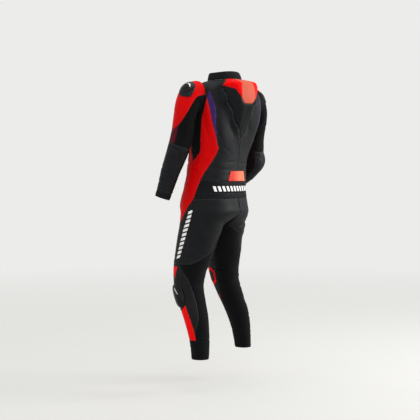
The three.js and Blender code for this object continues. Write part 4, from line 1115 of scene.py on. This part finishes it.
def rectangleStrip(name, formName, us, ss, liftOf, thick):
    form, sign = forms[formName]
    u, s = [g.ravel() for g in np.meshgrid(us, ss)]
    n = normals(form, sign, u, s)
    p = form(u, s)
    outer = p + n * liftOf(u, s)[:, None]
    inner = p + n * (liftOf(u, s) - thick)[:, None]
    wide = len(us)
    faces = []
    count = len(u)
    for j in range(len(ss) - 1):
        for i in range(wide - 1):
            k = j * wide + i
            quad = [k, k + 1, k + 1 + wide, k + wide]
            quad = quad if sign > 0 else quad[::-1]
            faces += [quad, [q + count for q in reversed(quad)]]
    loop = list(range(wide)) + [j * wide + wide - 1 for j in range(1, len(ss))]
    loop += [(len(ss) - 1) * wide + i for i in range(wide - 2, -1, -1)] + [j * wide for j in range(len(ss) - 2, 0, -1)]
    for a, b in zip(loop, loop[1:] + loop[:1]):
        side = [a, a + count, b + count, b]
        faces.append(side if sign > 0 else side[::-1])
    piece = newObject(name, toFrame(np.concatenate([outer, inner])).tolist(), faces)
    near = np.zeros(count * 2)
    piece.data.attributes.new("rimNear", "FLOAT", "POINT").data.foreach_set("value", near)
    uv = piece.data.uv_layers.new(name="cut")
    flat = np.stack([u * rounds["torso"] / 1000, s / 1000], 1)
    both = np.concatenate([flat, flat])
    loops = np.zeros(len(piece.data.loops), int)
    piece.data.loops.foreach_get("vertex_index", loops)
    uv.data.foreach_set("uv", both[loops].ravel())
    return piece


def tapeLift(v, s):
    # flat tape, a low woven guard beside the teeth and rolled edges
    across = np.abs(v) / frontZip["halfShare"]
    guard = 0.7 * np.exp(-((across - 0.42) / 0.1) ** 2)
    edge = 0.5 * np.exp(-((across - 0.93) / 0.07) ** 2)
    return frontZip["raise"] - 0.9 + guard + edge


tape = rectangleStrip(
    "front_zip_tape", "front", np.linspace(-1, 1, 41) * frontZip["halfShare"], steps(frontZip["bottom"], frontZip["top"], 4, [915]),
    tapeLift, 1.4)
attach(tape, "suit")
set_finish(tape, "zip_tape")
panels["front_zip"] = tape


# Small parts repeated along a line: each copy is one little closed shape, and all are joined in one mesh.
def repeated(name, places, shape, shapeFaces):
    vertices = []
    faces = []
    for middle, along, across, out in places:
        start = len(vertices)
        for x, y, z in shape:
            vertices.append(tuple((middle + along * x + across * y + out * z) / 1000 - np.array([0, 0, 1.47])))
        faces += [[start + i for i in f] for f in shapeFaces]
    piece = newObject(name, vertices, faces)
    piece.data.attributes.new("rimNear", "FLOAT", "POINT")
    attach(piece, "suit")
    return piece


def unit(p):
    return p / np.linalg.norm(p)


boxFaces = [[0, 3, 2, 1], [4, 5, 6, 7], [0, 1, 5, 4], [1, 2, 6, 5], [2, 3, 7, 6], [3, 0, 4, 7]]
teeth = []
toothCount = int((frontZip["top"] - frontZip["bottom"] - 14) / frontZip["pitch"])
for k in range(toothCount * 2):
    s = np.array([frontZip["bottom"] + 6 + k * frontZip["pitch"] / 2])
    side = 1 if k % 2 else -1
    v = np.array([side * 0.0007])
    n = normals(frontForm, -1, v, s)[0]
    up = unit(frontForm(v, s + 2)[0] - frontForm(v, s - 2)[0])
    teeth.append((frontForm(v, s)[0] + n * (frontZip["raise"] - 1.1), up, unit(np.cross(n, up)) * side, n))
w = frontZip["toothWide"] / 2
h = frontZip["toothHigh"]
l = frontZip["toothLong"] / 2
toothShape = [(-w, -l, 0), (w, -l, 0), (w, l, 0), (-w, l, 0),
              (-w * 0.7, -l, h), (w * 0.7, -l, h), (w * 0.7, l * 0.8, h), (-w * 0.7, l * 0.8, h)]
zipTeeth = repeated("zip_teeth", teeth, toothShape, boxFaces)
print("zip")

# Rows of stitches a little in from the edges of the leather panels.
stitch = {"inset": 3.0, "second": 6.2, "long": 3.4, "gap": 1.4, "thick": 0.42, "proud": 0.25}
leatherNames = ["hump_cap", "back", "front", "purple_stripe", "flash", "flank_inset", "waist_band", "waist_strip",
                "thigh_tail", "seat_thigh", "knee", "knee_accent", "shin", "calf_panel", "shoulder", "forearm",
                "sleeve_cuff"]
doubleRows = ["back", "seat_thigh", "flash", "forearm", "shoulder", "knee"]
spindle = [(-1, 0, 0), (-0.45, -1, 0), (-0.45, 1, 0), (-0.45, 0, 1), (0.45, -1, 0), (0.45, 1, 0), (0.45, 0, 1), (1, 0, 0)]
spindleFaces = [[0, 3, 1], [0, 2, 3], [0, 1, 2], [1, 3, 6, 4], [3, 2, 5, 6], [2, 1, 4, 5], [7, 4, 6], [7, 6, 5], [7, 5, 4]]


def rimLoops(rim):
    after = {int(a): int(b) for a, b in zip(rim["a"], rim["b"])}
    loops = []
    while after:
        start = next(iter(after))
        loop = [start]
        here = after.pop(start)
        while here != start and here in after:
            loop.append(here)
            here = after.pop(here)
        loops.append(loop)
    return loops


def stitchPlaces(name, inset):
    rim = rims[name]
    tree = panelTree(name)
    places = []
    for loop in rimLoops(rim):
        p = rim["p"][loop] + rim["inward"][loop] * inset
        step = np.linalg.norm(np.roll(p, -1, 0) - p, axis=1)
        length = np.concatenate([[0], np.cumsum(step)])
        closed = np.concatenate([p, p[:1]])
        pitch = stitch["long"] + stitch["gap"]
        marks = np.arange(0.5, int(length[-1] / pitch)) * length[-1] / int(length[-1] / pitch)
        spots = np.stack([np.interp(marks, length, closed[:, c]) for c in range(3)], 1)
        ahead = np.stack([np.interp(marks + 1, length, closed[:, c]) for c in range(3)], 1)
        for here, there in zip(spots, ahead):
            found, normal, _, away = tree.find_nearest(Vector(here / 1000 - np.array([0, 0, 1.47])))
            if found is None or away > 0.004:
                continue
            out = np.array(normal)
            along = there - here
            along = along - out * np.dot(along, out)
            size = np.linalg.norm(along)
            if size < 1e-6:
                continue
            along = along / size
            on = (np.array(found) + np.array([0, 0, 1.47])) * 1000
            places.append((on + out * (stitch["proud"] - stitch["thick"]), along, np.cross(out, along), out))
    return places


def panelTree(name):
    mesh = panels[name].data
    half = len(mesh.vertices) // 2
    faces = [list(f.vertices) for f in mesh.polygons if max(f.vertices) < half]
    return bvhtree.BVHTree.FromPolygons([v.co for v in mesh.vertices], faces)


l = stitch["long"] / 2
w = stitch["thick"]
spindleShape = [(x * l, y * w, z * w * 1.4 if z else 0) for x, y, z in spindle]
for group, kinds in (("stitches_torso", ("torso",)), ("stitches_legs", ("legLeft", "legRight")),
                     ("stitches_sleeves", ("sleeveLeft", "sleeveRight"))):
    places = []
    for name in rims:
        base = name.replace("_left", "").replace("_right", "")
        if base in leatherNames and formOf[name] in kinds:
            places += stitchPlaces(name, stitch["inset"])
            if base in doubleRows:
                places += stitchPlaces(name, stitch["second"])
    piece = repeated(group, places, spindleShape, spindleFaces)
    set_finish(piece, "leather")
    threads.append(piece)
    print(group, len(places))

# A thin rolled edge along the foot of the hump.
piping = {"low": 1196, "high": 1436, "thick": 1.2, "lift": 1.9}


def hemCord(name, formName, us, ss, cord):
    form, sign = forms[formName]
    p = toFrame(form(us, ss) + normals(form, sign, us, ss) * cord["lift"])
    curve = bpy.data.curves.new(name, "CURVE")
    curve.dimensions = "3D"
    curve.bevel_depth = cord["thick"] / 1000
    curve.bevel_resolution = 2
    curve.use_fill_caps = True
    line = curve.splines.new("POLY")
    line.points.add(len(p) - 1)
    for point, place in zip(line.points, p):
        point.co = (*place, 1)
    made = bpy.data.objects.new(name, curve)
    scene.collection.objects.link(made)
    bpy.ops.object.select_all(action="DESELECT")
    made.select_set(True)
    bpy.context.view_layer.objects.active = made
    bpy.ops.object.convert(target="MESH")
    piece = bpy.context.object
    piece.data.attributes.new("rimNear", "FLOAT", "POINT")
    bpy.ops.object.shade_smooth()
    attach(piece, "suit")
    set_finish(piece, "grey_leather")
    return piece


foot = np.linspace(piping["low"], piping["high"], 60)
pipings = [hemCord("hump_piping" + side, "torso", sign * humpFoot(foot), foot, piping)
           for side, sign in (("_left", 1), ("_right", -1))]
print("hump piping")

# Plain raised bars where the suit is printed: across the back of the waist and down each thigh.
printHigh = 0.45


def printedBars(name, formName, bars, panelNames):
    form, sign = forms[formName]
    trees = [panelTree(n) for n in panelNames]
    vertices = []
    faces = []
    across, along = [g.ravel() for g in np.meshgrid(np.linspace(0, 1, 5), np.linspace(0, 1, 9))]
    edge = np.minimum(np.minimum(across, 1 - across), np.minimum(along, 1 - along)) < 0.01
    count = len(across)
    loop = list(range(5)) + [j * 5 + 4 for j in range(1, 9)] + [40 + i for i in (3, 2, 1, 0)]
    loop += [j * 5 for j in range(7, 0, -1)]
    for corners in bars:
        a, b, c, d = [np.array(corner, float) for corner in corners]
        low = a + (b - a) * across[:, None]
        high = d + (c - d) * across[:, None]
        spot = low + (high - low) * along[:, None]
        out = normals(form, sign, spot[:, 0], spot[:, 1])
        places = toFrame(form(spot[:, 0], spot[:, 1]) + out * 2)
        top = []
        foot = []
        for place, n, onEdge in zip(places, out, edge):
            found = min((tree.find_nearest(Vector(place)) for tree in trees), key=lambda hit: hit[3])[0]
            base = np.array(found)
            top.append(base + n * (printHigh - (0.15 if onEdge else 0)) / 1000)
            foot.append(base - n * 0.15 / 1000)
        start = len(vertices)
        vertices += [tuple(v) for v in top + foot]
        for j in range(8):
            for i in range(4):
                q = j * 5 + i
                quad = [q, q + 1, q + 6, q + 5]
                quad = quad if sign > 0 else quad[::-1]
                faces += [[start + v for v in quad], [start + v + count for v in reversed(quad)]]
        for p, q in zip(loop, loop[1:] + loop[:1]):
            side = [p, p + count, q + count, q]
            faces.append([start + v for v in (side if sign > 0 else side[::-1])])
    piece = newObject(name, vertices, faces)
    piece.data.attributes.new("rimNear", "FLOAT", "POINT")
    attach(piece, "suit")
    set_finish(piece, "white_print")
    return piece


waistPrint = {"from": 0.146, "to": -0.146, "low": 947, "high": 972, "slant": 0.01, "bars": 13, "gap": 0.0095}
thighPrint = {"top": (0.362, 860), "end": (0.281, 632), "halfWide": 0.022, "bars": 11, "slant": 8, "gap": 7.5}


def waistBars():
    bars = []
    p = waistPrint
    wide = (p["from"] - p["to"] - p["slant"] - p["gap"] * (p["bars"] - 1)) / p["bars"]
    u = p["from"] - p["slant"]
    for k in range(p["bars"]):
        bars.append([(u - wide, p["low"]), (u, p["low"]), (u + p["slant"], p["high"]), (u - wide + p["slant"], p["high"])])
        u -= wide + p["gap"]
    return bars


def thighBars():
    bars = []
    p = thighPrint
    top = np.array(p["top"], float)
    end = np.array(p["end"], float)
    tall = (top[1] - end[1] - p["gap"] * (p["bars"] - 1)) / p["bars"]
    s = top[1]
    line = lambda s: top[0] + (end[0] - top[0]) * (top[1] - s) / (top[1] - end[1])
    for k in range(p["bars"]):
        u0 = line(s - tall)
        u1 = line(s)
        w = p["halfWide"]
        bars.append([(u0 - w, s - tall - p["slant"]), (u0 + w, s - tall), (u1 + w, s), (u1 - w, s - p["slant"])])
        s -= tall + p["gap"]
    return bars


prints = [
    printedBars("waist_print", "torso", waistBars(), ["waist_band"]),
    printedBars("thigh_print_left", "legLeft", thighBars(), ["seat_thigh_left"]),
    printedBars("thigh_print_right", "legRight", thighBars(), ["seat_thigh_right"]),
]
print("printed bars")


# Materials.
def colour(text):
    parts = [int(text[i:i + 2], 16) / 255 for i in (0, 2, 4)]
    return [c / 12.92 if c <= 0.04045 else ((c + 0.055) / 1.055) ** 2.4 for c in parts] + [1]


class Finish:
    def __init__(self, name):
        self.material = bpy.data.materials.new(name)
        self.material.use_nodes = True
        self.tree = self.material.node_tree
        self.surface = self.tree.nodes["Principled BSDF"]
        self.spot = self.node("ShaderNodeTexCoord").outputs["Object"]

    def node(self, kind, values=None, **settings):
        made = self.tree.nodes.new(kind)
        for key, value in settings.items():
            setattr(made, key, value)
        for key, value in (values or {}).items():
            if isinstance(value, bpy.types.NodeSocket):
                self.tree.links.new(value, made.inputs[key])
            else:
                made.inputs[key].default_value = value
        return made

    def noise(self, scale, detail=3, vector=None, roughness=0.5):
        made = self.node("ShaderNodeTexNoise", {
            "Vector": vector or self.spot, "Scale": scale, "Detail": detail, "Roughness": roughness})
        return made.outputs["Fac"]

    def mapped(self, value, low, high, fromLow=0.0, fromHigh=1.0):
        made = self.node("ShaderNodeMapRange", {
            "Value": value, "From Min": fromLow, "From Max": fromHigh, "To Min": low, "To Max": high})
        return made.outputs["Result"]

    def maths(self, operation, a, b=0.0):
        return self.node("ShaderNodeMath", {0: a, 1: b}, operation=operation).outputs["Value"]

    def mixed(self, share, a, b, blend="MIX"):
        made = self.node("ShaderNodeMix", {0: share, 6: a, 7: b}, data_type="RGBA", blend_type=blend)
        return made.outputs[2]

    def bump(self, height, distance, strength=1.0, before=None):
        values = {"Height": height, "Distance": distance, "Strength": strength}
        if before is not None:
            values["Normal"] = before
        return self.node("ShaderNodeBump", values).outputs["Normal"]

    def cut(self):
        return self.node("ShaderNodeUVMap", uv_map="cut").outputs["UV"]

    def rim(self):
        return self.node("ShaderNodeAttribute", attribute_name="rimNear").outputs["Fac"]

    def set(self, **values):
        names = {"base": "Base Color", "rough": "Roughness", "normal": "Normal", "metal": "Metallic",
                 "coat": "Coat Weight", "coatRough": "Coat Roughness", "sheen": "Sheen Weight",
                 "sheenRough": "Sheen Roughness", "sheenTint": "Sheen Tint", "specular": "Specular IOR Level",
                 "glow": "Emission Strength", "glowColour": "Emission Color"}
        for key, value in values.items():
            socket = self.surface.inputs[names[key]]
            if isinstance(value, bpy.types.NodeSocket):
                self.tree.links.new(value, socket)
            else:
                socket.default_value = value
        return self.material


def leatherFinish(name, look):
    f = Finish(name)
    cloud = f.noise(7, 4, roughness=0.6)
    patches = f.mapped(cloud, 0, 1, 0.35, 0.68)
    tone = f.mixed(patches, colour(look["base"]), colour(look["light"]))
    rim = f.rim()
    scuff = f.maths("MULTIPLY", rim, f.mapped(f.noise(55, 4), 0, look["wear"], 0.42, 0.7))
    tone = f.mixed(scuff, tone, colour(look["worn"]))
    # a second tone blended in by place across the piece: used only as painted sheen, a lighter coral where a face
    # catches the key light
    if "second" in look:
        second = look["second"]
        place = f.node("ShaderNodeSeparateXYZ", {"Vector": f.cut() if second["mirrored"] else f.spot}).outputs[0]
        if second["mirrored"]:
            place = f.maths("ABSOLUTE", place)
        tone = f.mixed(f.mapped(place, 0, 1, second["from"], second["to"]), colour(second["tone"]), tone)
    cells = f.node("ShaderNodeTexVoronoi", {"Vector": f.spot, "Scale": look["grain"]}, feature="F1").outputs["Distance"]
    pores = f.maths("ADD", f.mapped(cells, 0, 1, 0.05, 0.75), f.mapped(f.noise(look["grain"] * 2.3, 2), 0, 0.35))
    stretchMarks = f.noise(42, 5, roughness=0.65)
    grainBump = f.bump(pores, 0.00028, look["grainDepth"])
    softBump = f.bump(stretchMarks, 0.0011, 0.5, grainBump)
    rough = f.maths("ADD", f.mapped(cloud, look["rough"] - 0.07, look["rough"] + 0.09, 0.3, 0.7),
                    f.mapped(pores, -0.03, 0.05))
    return f.set(base=tone, rough=rough, normal=softBump, coat=look.get("coat", 0.0), coatRough=0.35,
                 specular=look.get("specular", 0.5))


def stretchFinish(name, look):
    f = Finish(name)
    uv = f.cut()
    across = f.node("ShaderNodeTexWave", {"Vector": uv, "Scale": 0.314 / look["rib"], "Distortion": 0.0},
                    wave_type="BANDS", bands_direction=look.get("way", "Y"), wave_profile="SIN").outputs["Fac"]
    thread = f.node("ShaderNodeTexWave", {"Vector": uv, "Scale": 0.314 / look["thread"], "Distortion": 0.0},
                    wave_type="BANDS", bands_direction="DIAGONAL", wave_profile="SIN").outputs["Fac"]
    cloud = f.noise(11, 4)
    tone = f.mixed(f.mapped(cloud, 0, 1, 0.3, 0.7), colour(look["base"]), colour(look["light"]))
    # painted shade: the hollows between the ribs are coloured darker
    tone = f.mixed(f.mapped(across, look["shade"], 0, 0, 0.55), tone, colour(look["valley"]))
    fuzz = f.noise(900, 3)
    height = f.maths("ADD", across, f.maths("MULTIPLY", thread, 0.25))
    normal = f.bump(fuzz, 0.0002, 0.5, f.bump(height, look["depth"], 0.9))
    return f.set(base=tone, rough=f.mapped(cloud, look["rough"] - 0.05, look["rough"] + 0.06, 0.3, 0.7), normal=normal,
                 sheen=look["sheen"], sheenRough=0.5, specular=0.07)


def plasticFinish(name, look):
    f = Finish(name)
    cloud = f.noise(16, 4)
    scratches = f.node("ShaderNodeTexNoise", {
        "Vector": f.node("ShaderNodeMapping", {"Vector": f.spot, "Rotation": (0.3, 0.2, 0.5), "Scale": (60, 60, 900)}).outputs[0],
        "Scale": 1.0, "Detail": 3.0}).outputs["Fac"]
    rim = f.rim()
    tone = f.mixed(f.mapped(cloud, 0, 1, 0.35, 0.7), colour(look["base"]), colour(look["light"]))
    tone = f.mixed(f.maths("MULTIPLY", rim, 0.35), tone, colour(look["worn"]))
    rough = f.maths("ADD", f.mapped(cloud, look["rough"] - 0.04, look["rough"] + 0.06, 0.3, 0.7),
                    f.mapped(scratches, -0.03, 0.08, 0.4, 0.7))
    normal = f.bump(f.noise(look["pebble"], 2), 0.00018, 0.35, f.bump(scratches, 0.00008, 0.4))
    return f.set(base=tone, rough=rough, normal=normal, coat=look["coat"], coatRough=0.12,
                 specular=look["specular"])


def metalFinish(name, look):
    f = Finish(name)
    stretched = f.node("ShaderNodeMapping", {"Vector": f.spot, "Scale": look["brush"]}).outputs[0]
    lines = f.node("ShaderNodeTexNoise", {"Vector": stretched, "Scale": 1.0, "Detail": 4.0}).outputs["Fac"]
    cloud = f.noise(60, 3)
    tone = f.mixed(f.mapped(lines, 0, 1, 0.35, 0.65), colour(look["base"]), colour(look["light"]))
    rough = f.maths("ADD", f.mapped(lines, look["rough"] - 0.06, look["rough"] + 0.1, 0.3, 0.7), f.mapped(cloud, -0.04, 0.06))
    return f.set(base=tone, rough=rough, metal=1.0, normal=f.bump(lines, 0.00008, 0.5))


def liningFinish(name, look):
    f = Finish(name)
    uv = f.cut()
    holes = f.node("ShaderNodeTexVoronoi", {"Vector": uv, "Scale": 420.0, "Randomness": 0.1}, feature="F1").outputs["Distance"]
    open_ = f.mapped(holes, 0, 1, 0.12, 0.4)
    cloud = f.noise(12, 3)
    tone = f.mixed(f.mapped(cloud, 0, 1, 0.3, 0.7), colour(look["base"]), colour(look["light"]))
    tone = f.mixed(open_, colour(look["hole"]), tone)
    return f.set(base=tone, rough=0.85, normal=f.bump(open_, 0.0004, 0.7), sheen=0.05, sheenRough=0.6, specular=0.2)


def threadFinish(name, look):
    f = Finish(name)
    twist = f.noise(1400, 2)
    tone = f.mixed(twist, colour(look["base"]), colour(look["light"]))
    return f.set(base=tone, rough=f.mapped(twist, 0.5, 0.75), normal=f.bump(twist, 0.0002, 0.6), sheen=0.2)


def printFinish(name, look):
    f = Finish(name)
    crack = f.node("ShaderNodeTexVoronoi", {"Vector": f.spot, "Scale": 260.0}, feature="DISTANCE_TO_EDGE").outputs["Distance"]
    cloud = f.noise(22, 4)
    tone = f.mixed(f.mapped(cloud, 0, 1, 0.3, 0.75), colour(look["base"]), colour(look["light"]))
    tone = f.mixed(f.mapped(crack, 0.35, 0, 0, 0.04), tone, colour(look["crack"]))
    return f.set(base=tone, rough=f.mapped(cloud, 0.42, 0.6, 0.3, 0.7),
                 normal=f.bump(crack, 0.0001, 0.4, f.bump(f.noise(500, 2), 0.0001, 0.4)))


finishes = {
    "leather": leatherFinish("charcoal leather", {
        "base": "101113", "light": "18191b", "worn": "28292c", "wear": 0.4, "grain": 520.0, "grainDepth": 0.5,
        "rough": 0.5, "specular": 0.09}),
    "grey_leather": leatherFinish("dark grey leather", {
        "base": "121213", "light": "19191a", "worn": "36373a", "wear": 0.45, "grain": 520.0, "grainDepth": 0.5,
        "rough": 0.5, "specular": 0.09}),
    # the piping cord is real, but its grey, lighter than the dark grey leather, is a painted highlight along the hump's
    # foot
    "piping": leatherFinish("grey leather piping", {
        "base": "3a3b3e", "light": "48494c", "worn": "5c5d60", "wear": 0.3, "grain": 520.0, "grainDepth": 0.3,
        "rough": 0.5, "specular": 0.2}),
    # one red leather in copies of different brightness, as painted light and shade: this darker copy goes on the
    # flashes, flank insets, thigh tails and shoulders, and the lighter copies on the shins, knee accents, grips and
    # hump cap
    "red_leather": leatherFinish("fluorescent red leather", {
        "base": "bc0002", "light": "c80103", "worn": "dc2a24", "wear": 0.3, "grain": 560.0, "grainDepth": 0.4,
        "rough": 0.46, "specular": 0.05}),
    "bright_leather": leatherFinish("bright red leather", {
        "base": "da0002", "light": "e40104", "worn": "f23a30", "wear": 0.3, "grain": 560.0, "grainDepth": 0.4,
        "rough": 0.46, "specular": 0.05}),
    # the hump cap: red leather with a coral painted sheen laid on the middle of its rear face, where the key light
    # catches it
    "cap_leather": leatherFinish("red leather, coral on the rear face", {
        "base": "d40002", "light": "de0103", "worn": "f03a30", "wear": 0.3, "grain": 560.0, "grainDepth": 0.4,
        "rough": 0.46, "specular": 0.04, "second": {"mirrored": True, "from": 0.03, "to": 0.037, "tone": "be5844"}}),
    # the lumbar badge: coral red leather, with a lighter coral painted sheen on the side towards the key light
    "coral_leather": leatherFinish("coral red leather", {
        "base": "be2014", "light": "c62a1c", "worn": "dc5c44", "wear": 0.4, "grain": 560.0, "grainDepth": 0.4,
        "rough": 0.42, "specular": 0.1, "second": {"mirrored": False, "from": -0.01, "to": 0.045, "tone": "e06e50"}}),
    "purple_leather": leatherFinish("purple leather", {
        "base": "2c1a4a", "light": "38215c", "worn": "5a4488", "wear": 0.35, "grain": 540.0, "grainDepth": 0.4,
        "rough": 0.48, "specular": 0.07}),
    "band": leatherFinish("matt black leather", {
        "base": "0f1012", "light": "151618", "worn": "28292c", "wear": 0.4, "grain": 600.0, "grainDepth": 0.5,
        "rough": 0.6, "specular": 0.06}),
    "stretch": stretchFinish("black stretch textile", {
        "base": "08090a", "light": "0e0f11", "valley": "030304", "shade": 0.6, "rib": 0.0026, "thread": 0.0011,
        "depth": 0.00045, "rough": 0.8, "sheen": 0.02}),
    "crimson_stretch": stretchFinish("dark crimson stretch textile", {
        "base": "4c0816", "light": "661022", "valley": "120204", "shade": 0.85, "rib": 0.0085, "thread": 0.0014,
        "depth": 0.0019, "rough": 0.8, "sheen": 0.04}),
    "collar_knit": stretchFinish("black collar knit", {
        "base": "0e0f10", "light": "161719", "valley": "050506", "shade": 0.5, "rib": 0.003, "thread": 0.0013,
        "depth": 0.0004, "rough": 0.8, "sheen": 0.03, "way": "X"}),
    "zip_tape": stretchFinish("woven zip tape", {
        "base": "0e0f10", "light": "161719", "valley": "050506", "shade": 0.5, "rib": 0.0016, "thread": 0.001,
        "depth": 0.00025, "rough": 0.75, "sheen": 0.03}),
    "slider_plastic": plasticFinish("glossy black slider plastic", {
        "base": "08080a", "light": "0d0d0f", "worn": "1c1c1f", "rough": 0.27, "pebble": 300.0, "coat": 0.03,
        "specular": 0.12}),
    "slot_plastic": plasticFinish("pale grey slider insert", {
        "base": "9a9b9d", "light": "b0b1b3", "worn": "cfcfd0", "rough": 0.35, "pebble": 500.0, "coat": 0.1,
        "specular": 0.3}),
    "cup_plastic": plasticFinish("satin black cup plastic", {
        "base": "0b0b0c", "light": "111113", "worn": "232326", "rough": 0.34, "pebble": 700.0, "coat": 0.04,
        "specular": 0.15}),
    "light_metal": metalFinish("brushed aluminium", {
        "base": "a2a3a6", "light": "c4c5c8", "rough": 0.3, "brush": (30, 700, 700)}),
    "zip_metal": metalFinish("dark nickel", {
        "base": "6a6a6e", "light": "8c8c90", "rough": 0.28, "brush": (400, 400, 60)}),
    "lining": liningFinish("mesh lining", {"base": "1e1f22", "light": "2a2b2f", "hole": "0b0b0c"}),
    "thread": threadFinish("black waxed thread", {"base": "17181a", "light": "34353a"}),
    "print": printFinish("white rubber print", {"base": "dcdcda", "light": "eeeeec", "crack": "a8a8a6"}),
}

slotOf = {"hump_cap": "red_leather", "hump_body": "stretch", "knee_accent": "red_leather", "shin": "red_leather",
          "knee_grip": "red_leather"}

for name, piece in panels.items():
    base = name.replace("_left", "").replace("_right", "")
    finish = finishOf[base]
    if "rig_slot" not in piece:
        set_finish(piece, slotOf.get(base, finish))
    piece.data.materials.append(finishes[finish])
    if name in rims:
        piece.data.materials.append(finishes["lining"])
    if name not in rims:
        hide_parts(name)
for piece in threads:
    piece.data.materials.append(finishes["thread"])
for piece in pipings:
    piece.data.materials.append(finishes["piping"])
for piece in prints:
    piece.data.materials.append(finishes["print"])
for piece in kneeSlots:
    piece.data.materials.append(finishes["slot_plastic"])
    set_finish(piece, "slider_plastic")
zipTeeth.data.materials.append(finishes["zip_metal"])
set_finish(zipTeeth, "zip_metal")
for name in ("zip_slider", "zip_pull"):
    bpy.data.objects[name].data.materials.clear()
    bpy.data.objects[name].data.materials.append(finishes["zip_metal"])
print("materials")

# A second material on the middle of a pad, out to a share of its outline, and on the faces below a height: the grips on
# the inner knees are red frames round a dark leaf, and the shoulder inserts bright rings round a dark middle. On the
# inserts the dark plastic stands in for the aluminium mirroring dark surroundings, a painted reflection and shade, on
# the middle and on the lower faces of each ring, so only the ring's upper part is bright.
def dressMiddle(piece, pad, share, finish, shadedBelowShare=-1):
    piece.data.materials.append(finishes[finish])
    near = np.zeros(len(piece.data.vertices))
    piece.data.attributes["rimNear"].data.foreach_get("value", near)
    edge = math.exp(-(1 - share) * pad["half"][1] / 3.5)
    heights = [v.co.z for v in piece.data.vertices]
    middle = (min(heights) + max(heights)) / 2
    high = middle + shadedBelowShare * (max(heights) - middle)
    for face in piece.data.polygons:
        if np.mean(near[list(face.vertices)]) < edge or face.center.z < high:
            face.material_index = 1


for side in ("_left", "_right"):
    dressMiddle(panels["knee_grip" + side], kneeGrip, 0.74, "leather")
    # on the inserts the dark plastic also covers the lower faces, as painted shade
    dressMiddle(panels["shoulder_insert" + side], shoulderInsert, 0.77, "cup_plastic", 0.1)

# Floor, light and camera.
floorZ = -shoulderHeight / 1000
bpy.ops.object.select_all(action="DESELECT")
bpy.ops.mesh.primitive_circle_add(vertices=96, radius=7, fill_type="NGON", location=(0, 0, floorZ))
floor = bpy.context.object
floor.name = "studio_floor"
bpy.ops.object.transform_apply(location=True, rotation=True, scale=True)
floorLook = Finish("pale studio floor")
fade = floorLook.node("ShaderNodeTexGradient", {"Vector": floorLook.node("ShaderNodeMapping", {
    "Vector": floorLook.spot, "Scale": (1 / 6.5, 1 / 6.5, 0)}).outputs[0]},
    gradient_type="SPHERICAL").outputs["Fac"]
clear = floorLook.node("ShaderNodeBsdfTransparent").outputs[0]
share = floorLook.mapped(fade, 0, 0.6, 0.05, 0.95)
floorLook.set(base=floorLook.mixed(floorLook.noise(3, 3), colour("c8c7c4"), colour("cccbc8")), rough=0.9, specular=0.1)
joined = floorLook.node("ShaderNodeMixShader", {0: share, 1: clear, 2: floorLook.surface.outputs[0]}).outputs[0]
floorLook.tree.links.new(joined, floorLook.tree.nodes["Material Output"].inputs["Surface"])
floor.data.materials.append(floorLook.material)

world = bpy.data.worlds.new("studio air")
world.use_nodes = True
world.node_tree.nodes["Background"].inputs["Color"].default_value = colour("ececea")
world.node_tree.nodes["Background"].inputs["Strength"].default_value = 1.0
scene.world = world
scene.view_settings.view_transform = "Standard"

cameraPlace = {"azimuth": 130, "away": 5.0, "eye": 1.049, "focal": 1025, "middle": (224, 170), "frame": 420}
a = math.radians(cameraPlace["azimuth"])
camera = bpy.data.objects.new("camera", bpy.data.cameras.new("camera"))
scene.collection.objects.link(camera)
camera.location = (
    cameraPlace["away"] * math.sin(a), -cameraPlace["away"] * math.cos(a), cameraPlace["eye"] - shoulderHeight / 1000)
camera.rotation_euler = (math.radians(90), 0, a)
camera.data.sensor_width = 36
camera.data.lens = cameraPlace["focal"] / cameraPlace["frame"] * 36
camera.data.shift_x = (cameraPlace["frame"] / 2 - cameraPlace["middle"][0]) / cameraPlace["frame"]
camera.data.shift_y = (cameraPlace["middle"][1] - cameraPlace["frame"] / 2) / cameraPlace["frame"]
scene.camera = camera

# Lights, each by its place to the camera's right, towards the camera, and above the floor.
towards = np.array([math.sin(a), -math.cos(a), 0])
rightward = np.array([-towards[1], towards[0], 0])
lights = {
    "key": {"right": 3.4, "near": -0.3, "high": 1.9, "size": 1.6, "power": 120},
    "fill": {"right": -3.2, "near": 2.4, "high": 1.8, "size": 2.6, "power": 12},
    "top": {"right": 0.2, "near": 0.2, "high": 3.9, "size": 2.4, "power": 34},
    "front": {"right": 0.5, "near": 4.5, "high": 2.6, "size": 2.4, "power": 36},
}
for name, light in lights.items():
    data = bpy.data.lights.new(name, "AREA")
    data.energy = light["power"]
    data.size = light["size"]
    lamp = bpy.data.objects.new(name, data)
    scene.collection.objects.link(lamp)
    place = rightward * light["right"] + towards * light["near"] + np.array([0, 0, light["high"] + floorZ])
    lamp.location = place
    aim = Vector((0, 0, -0.6)) - Vector(place)
    lamp.rotation_euler = aim.to_track_quat("-Z", "Y").to_euler()
print("stage, light and camera")
